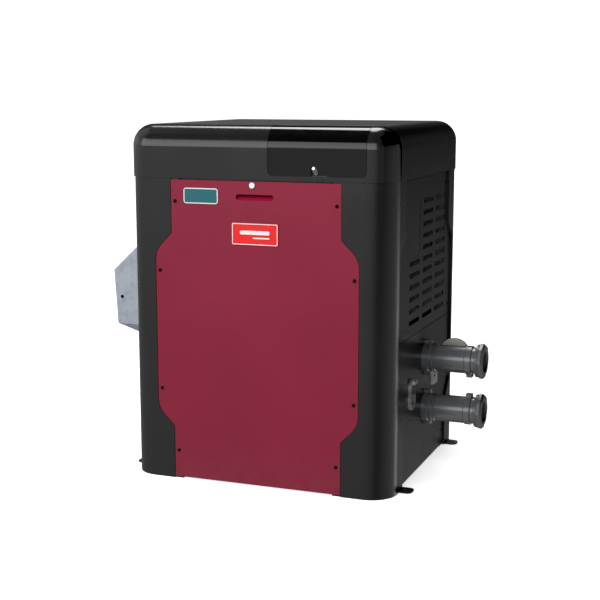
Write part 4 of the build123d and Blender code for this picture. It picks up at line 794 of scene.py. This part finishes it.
class Sky:
    """Builds the studio's brightness as a function of azimuth from the front and of height."""

    def __init__(self, tree):
        self.tree = tree
        direction = self.node("ShaderNodeTexCoord").outputs["Generated"]
        apart = self.node("ShaderNodeSeparateXYZ")
        tree.links.new(direction, apart.inputs[0])
        across, deep, self.high = apart.outputs
        ahead = self.number("MULTIPLY", deep, -1.0)
        self.azimuth = self.number("ARCTAN2", across, ahead)

    def node(self, kind, **settings):
        node = self.tree.nodes.new(kind)
        for key, value in settings.items():
            setattr(node, key, value)
        return node

    def number(self, operation, a, b):
        """One number made of two; each is a number or another node's socket."""
        node = self.node("ShaderNodeMath", operation=operation)
        for socket, value in zip(node.inputs, (a, b)):
            if isinstance(value, bpy.types.NodeSocket):
                self.tree.links.new(value, socket)
            else:
                socket.default_value = value
        return node.outputs[0]

    def smooth(self, value, start, end, low=0.0, high=1.0):
        """Eases from low to high while the value goes from start to end."""
        node = self.node("ShaderNodeMapRange", interpolation_type="SMOOTHSTEP")
        self.tree.links.new(value, node.inputs["Value"])
        ends = {"From Min": start, "From Max": end, "To Min": low, "To Max": high}
        for name, number in ends.items():
            node.inputs[name].default_value = number
        return node.outputs["Result"]

    def around(self, stops):
        """Brightness by azimuth, from (degrees, brightness) stops."""
        turn = self.smooth(self.azimuth, -math.pi, math.pi)
        turn.node.interpolation_type = "LINEAR"
        ramp = self.node("ShaderNodeValToRGB")
        points = ramp.color_ramp.elements
        while len(points) < len(stops):
            points.new(0.5)
        for point, (degrees, light) in zip(points, stops):
            point.position = degrees / 360.0 + 0.5
            point.color = (light, light, light, 1.0)
        self.tree.links.new(turn, ramp.inputs[0])
        return ramp.outputs["Color"]

    def box(self, centre, half, low, high, soft, strength):
        """A soft-edged panel of light, all angles in degrees."""
        away = self.number("SUBTRACT", self.azimuth, math.radians(centre))
        away = self.number("WRAP", away, math.pi)
        away.node.inputs[2].default_value = -math.pi
        away = self.number("ABSOLUTE", away, 0.0)
        wide = self.smooth(away, math.radians(half), math.radians(half + soft), 1.0, 0.0)
        sines = [math.sin(math.radians(e)) for e in (low - soft, low, high, high + soft)]
        above = self.smooth(self.high, *sines[:2])
        below = self.smooth(self.high, *sines[2:], 1.0, 0.0)
        tall = self.number("MULTIPLY", above, below)
        return self.number("MULTIPLY", self.number("MULTIPLY", wide, tall), strength)


def studio_world():
    """What the object mirrors: lit low surroundings, a dark ceiling and back, and soft boxes."""
    world = bpy.data.worlds.new("studio")
    bpy.context.scene.world = world
    world.use_nodes = True
    tree = world.node_tree
    tree.nodes.clear()
    sky = Sky(tree)
    low = sky.number("MULTIPLY", sky.around(LOW_STOPS), sky.smooth(sky.high, *LOW_FADE, 1.0, 0.0))
    light = sky.number("ADD", low, OVERHEAD)
    for soft_box in SOFT_BOXES:
        light = sky.number("ADD", light, sky.box(*soft_box))
    seen = sky.node("ShaderNodeLightPath").outputs["Is Camera Ray"]
    shown = sky.node("ShaderNodeMix", data_type="FLOAT")
    tree.links.new(seen, shown.inputs["Factor"])
    tree.links.new(light, shown.inputs[2])
    shown.inputs[3].default_value = BACKDROP
    back = sky.node("ShaderNodeBackground")
    back.inputs["Color"].default_value = (1.0, 1.0, 1.0, 1.0)
    tree.links.new(shown.outputs[0], back.inputs["Strength"])
    output = sky.node("ShaderNodeOutputWorld")
    tree.links.new(back.outputs[0], output.inputs["Surface"])


def key_light():
    """A large soft lamp above the front; it shades the faces but is not itself mirrored."""
    light = bpy.data.lights.new("key", "AREA")
    light.shape = "RECTANGLE"
    light.size, light.size_y = KEY_SIZE
    light.energy = KEY_POWER
    lamp = bpy.data.objects.new("key", light)
    bpy.context.scene.collection.objects.link(lamp)
    lamp.location = KEY_PLACE
    aim = Vector(KEY_AIM) - lamp.location
    lamp.rotation_euler = aim.to_track_quat("-Z", "Y").to_euler()
    lamp.visible_glossy = False


def photo_camera():
    """Stands where the photographer stood: to the right of the front, looking a little down."""
    lens = bpy.data.cameras.new("camera")
    lens.lens = CAMERA_LENS
    lens.sensor_width = CAMERA_SENSOR
    lens.clip_end = CAMERA_REACH
    camera = bpy.data.objects.new("camera", lens)
    bpy.context.scene.collection.objects.link(camera)
    camera.location = CAMERA_PLACE
    camera.rotation_euler = (math.radians(90.0 - CAMERA_DOWN), 0.0, math.radians(CAMERA_TURN))
    bpy.context.scene.camera = camera


ground()
studio_world()
key_light()
photo_camera()
bpy.context.scene.view_settings.view_transform = "Standard"
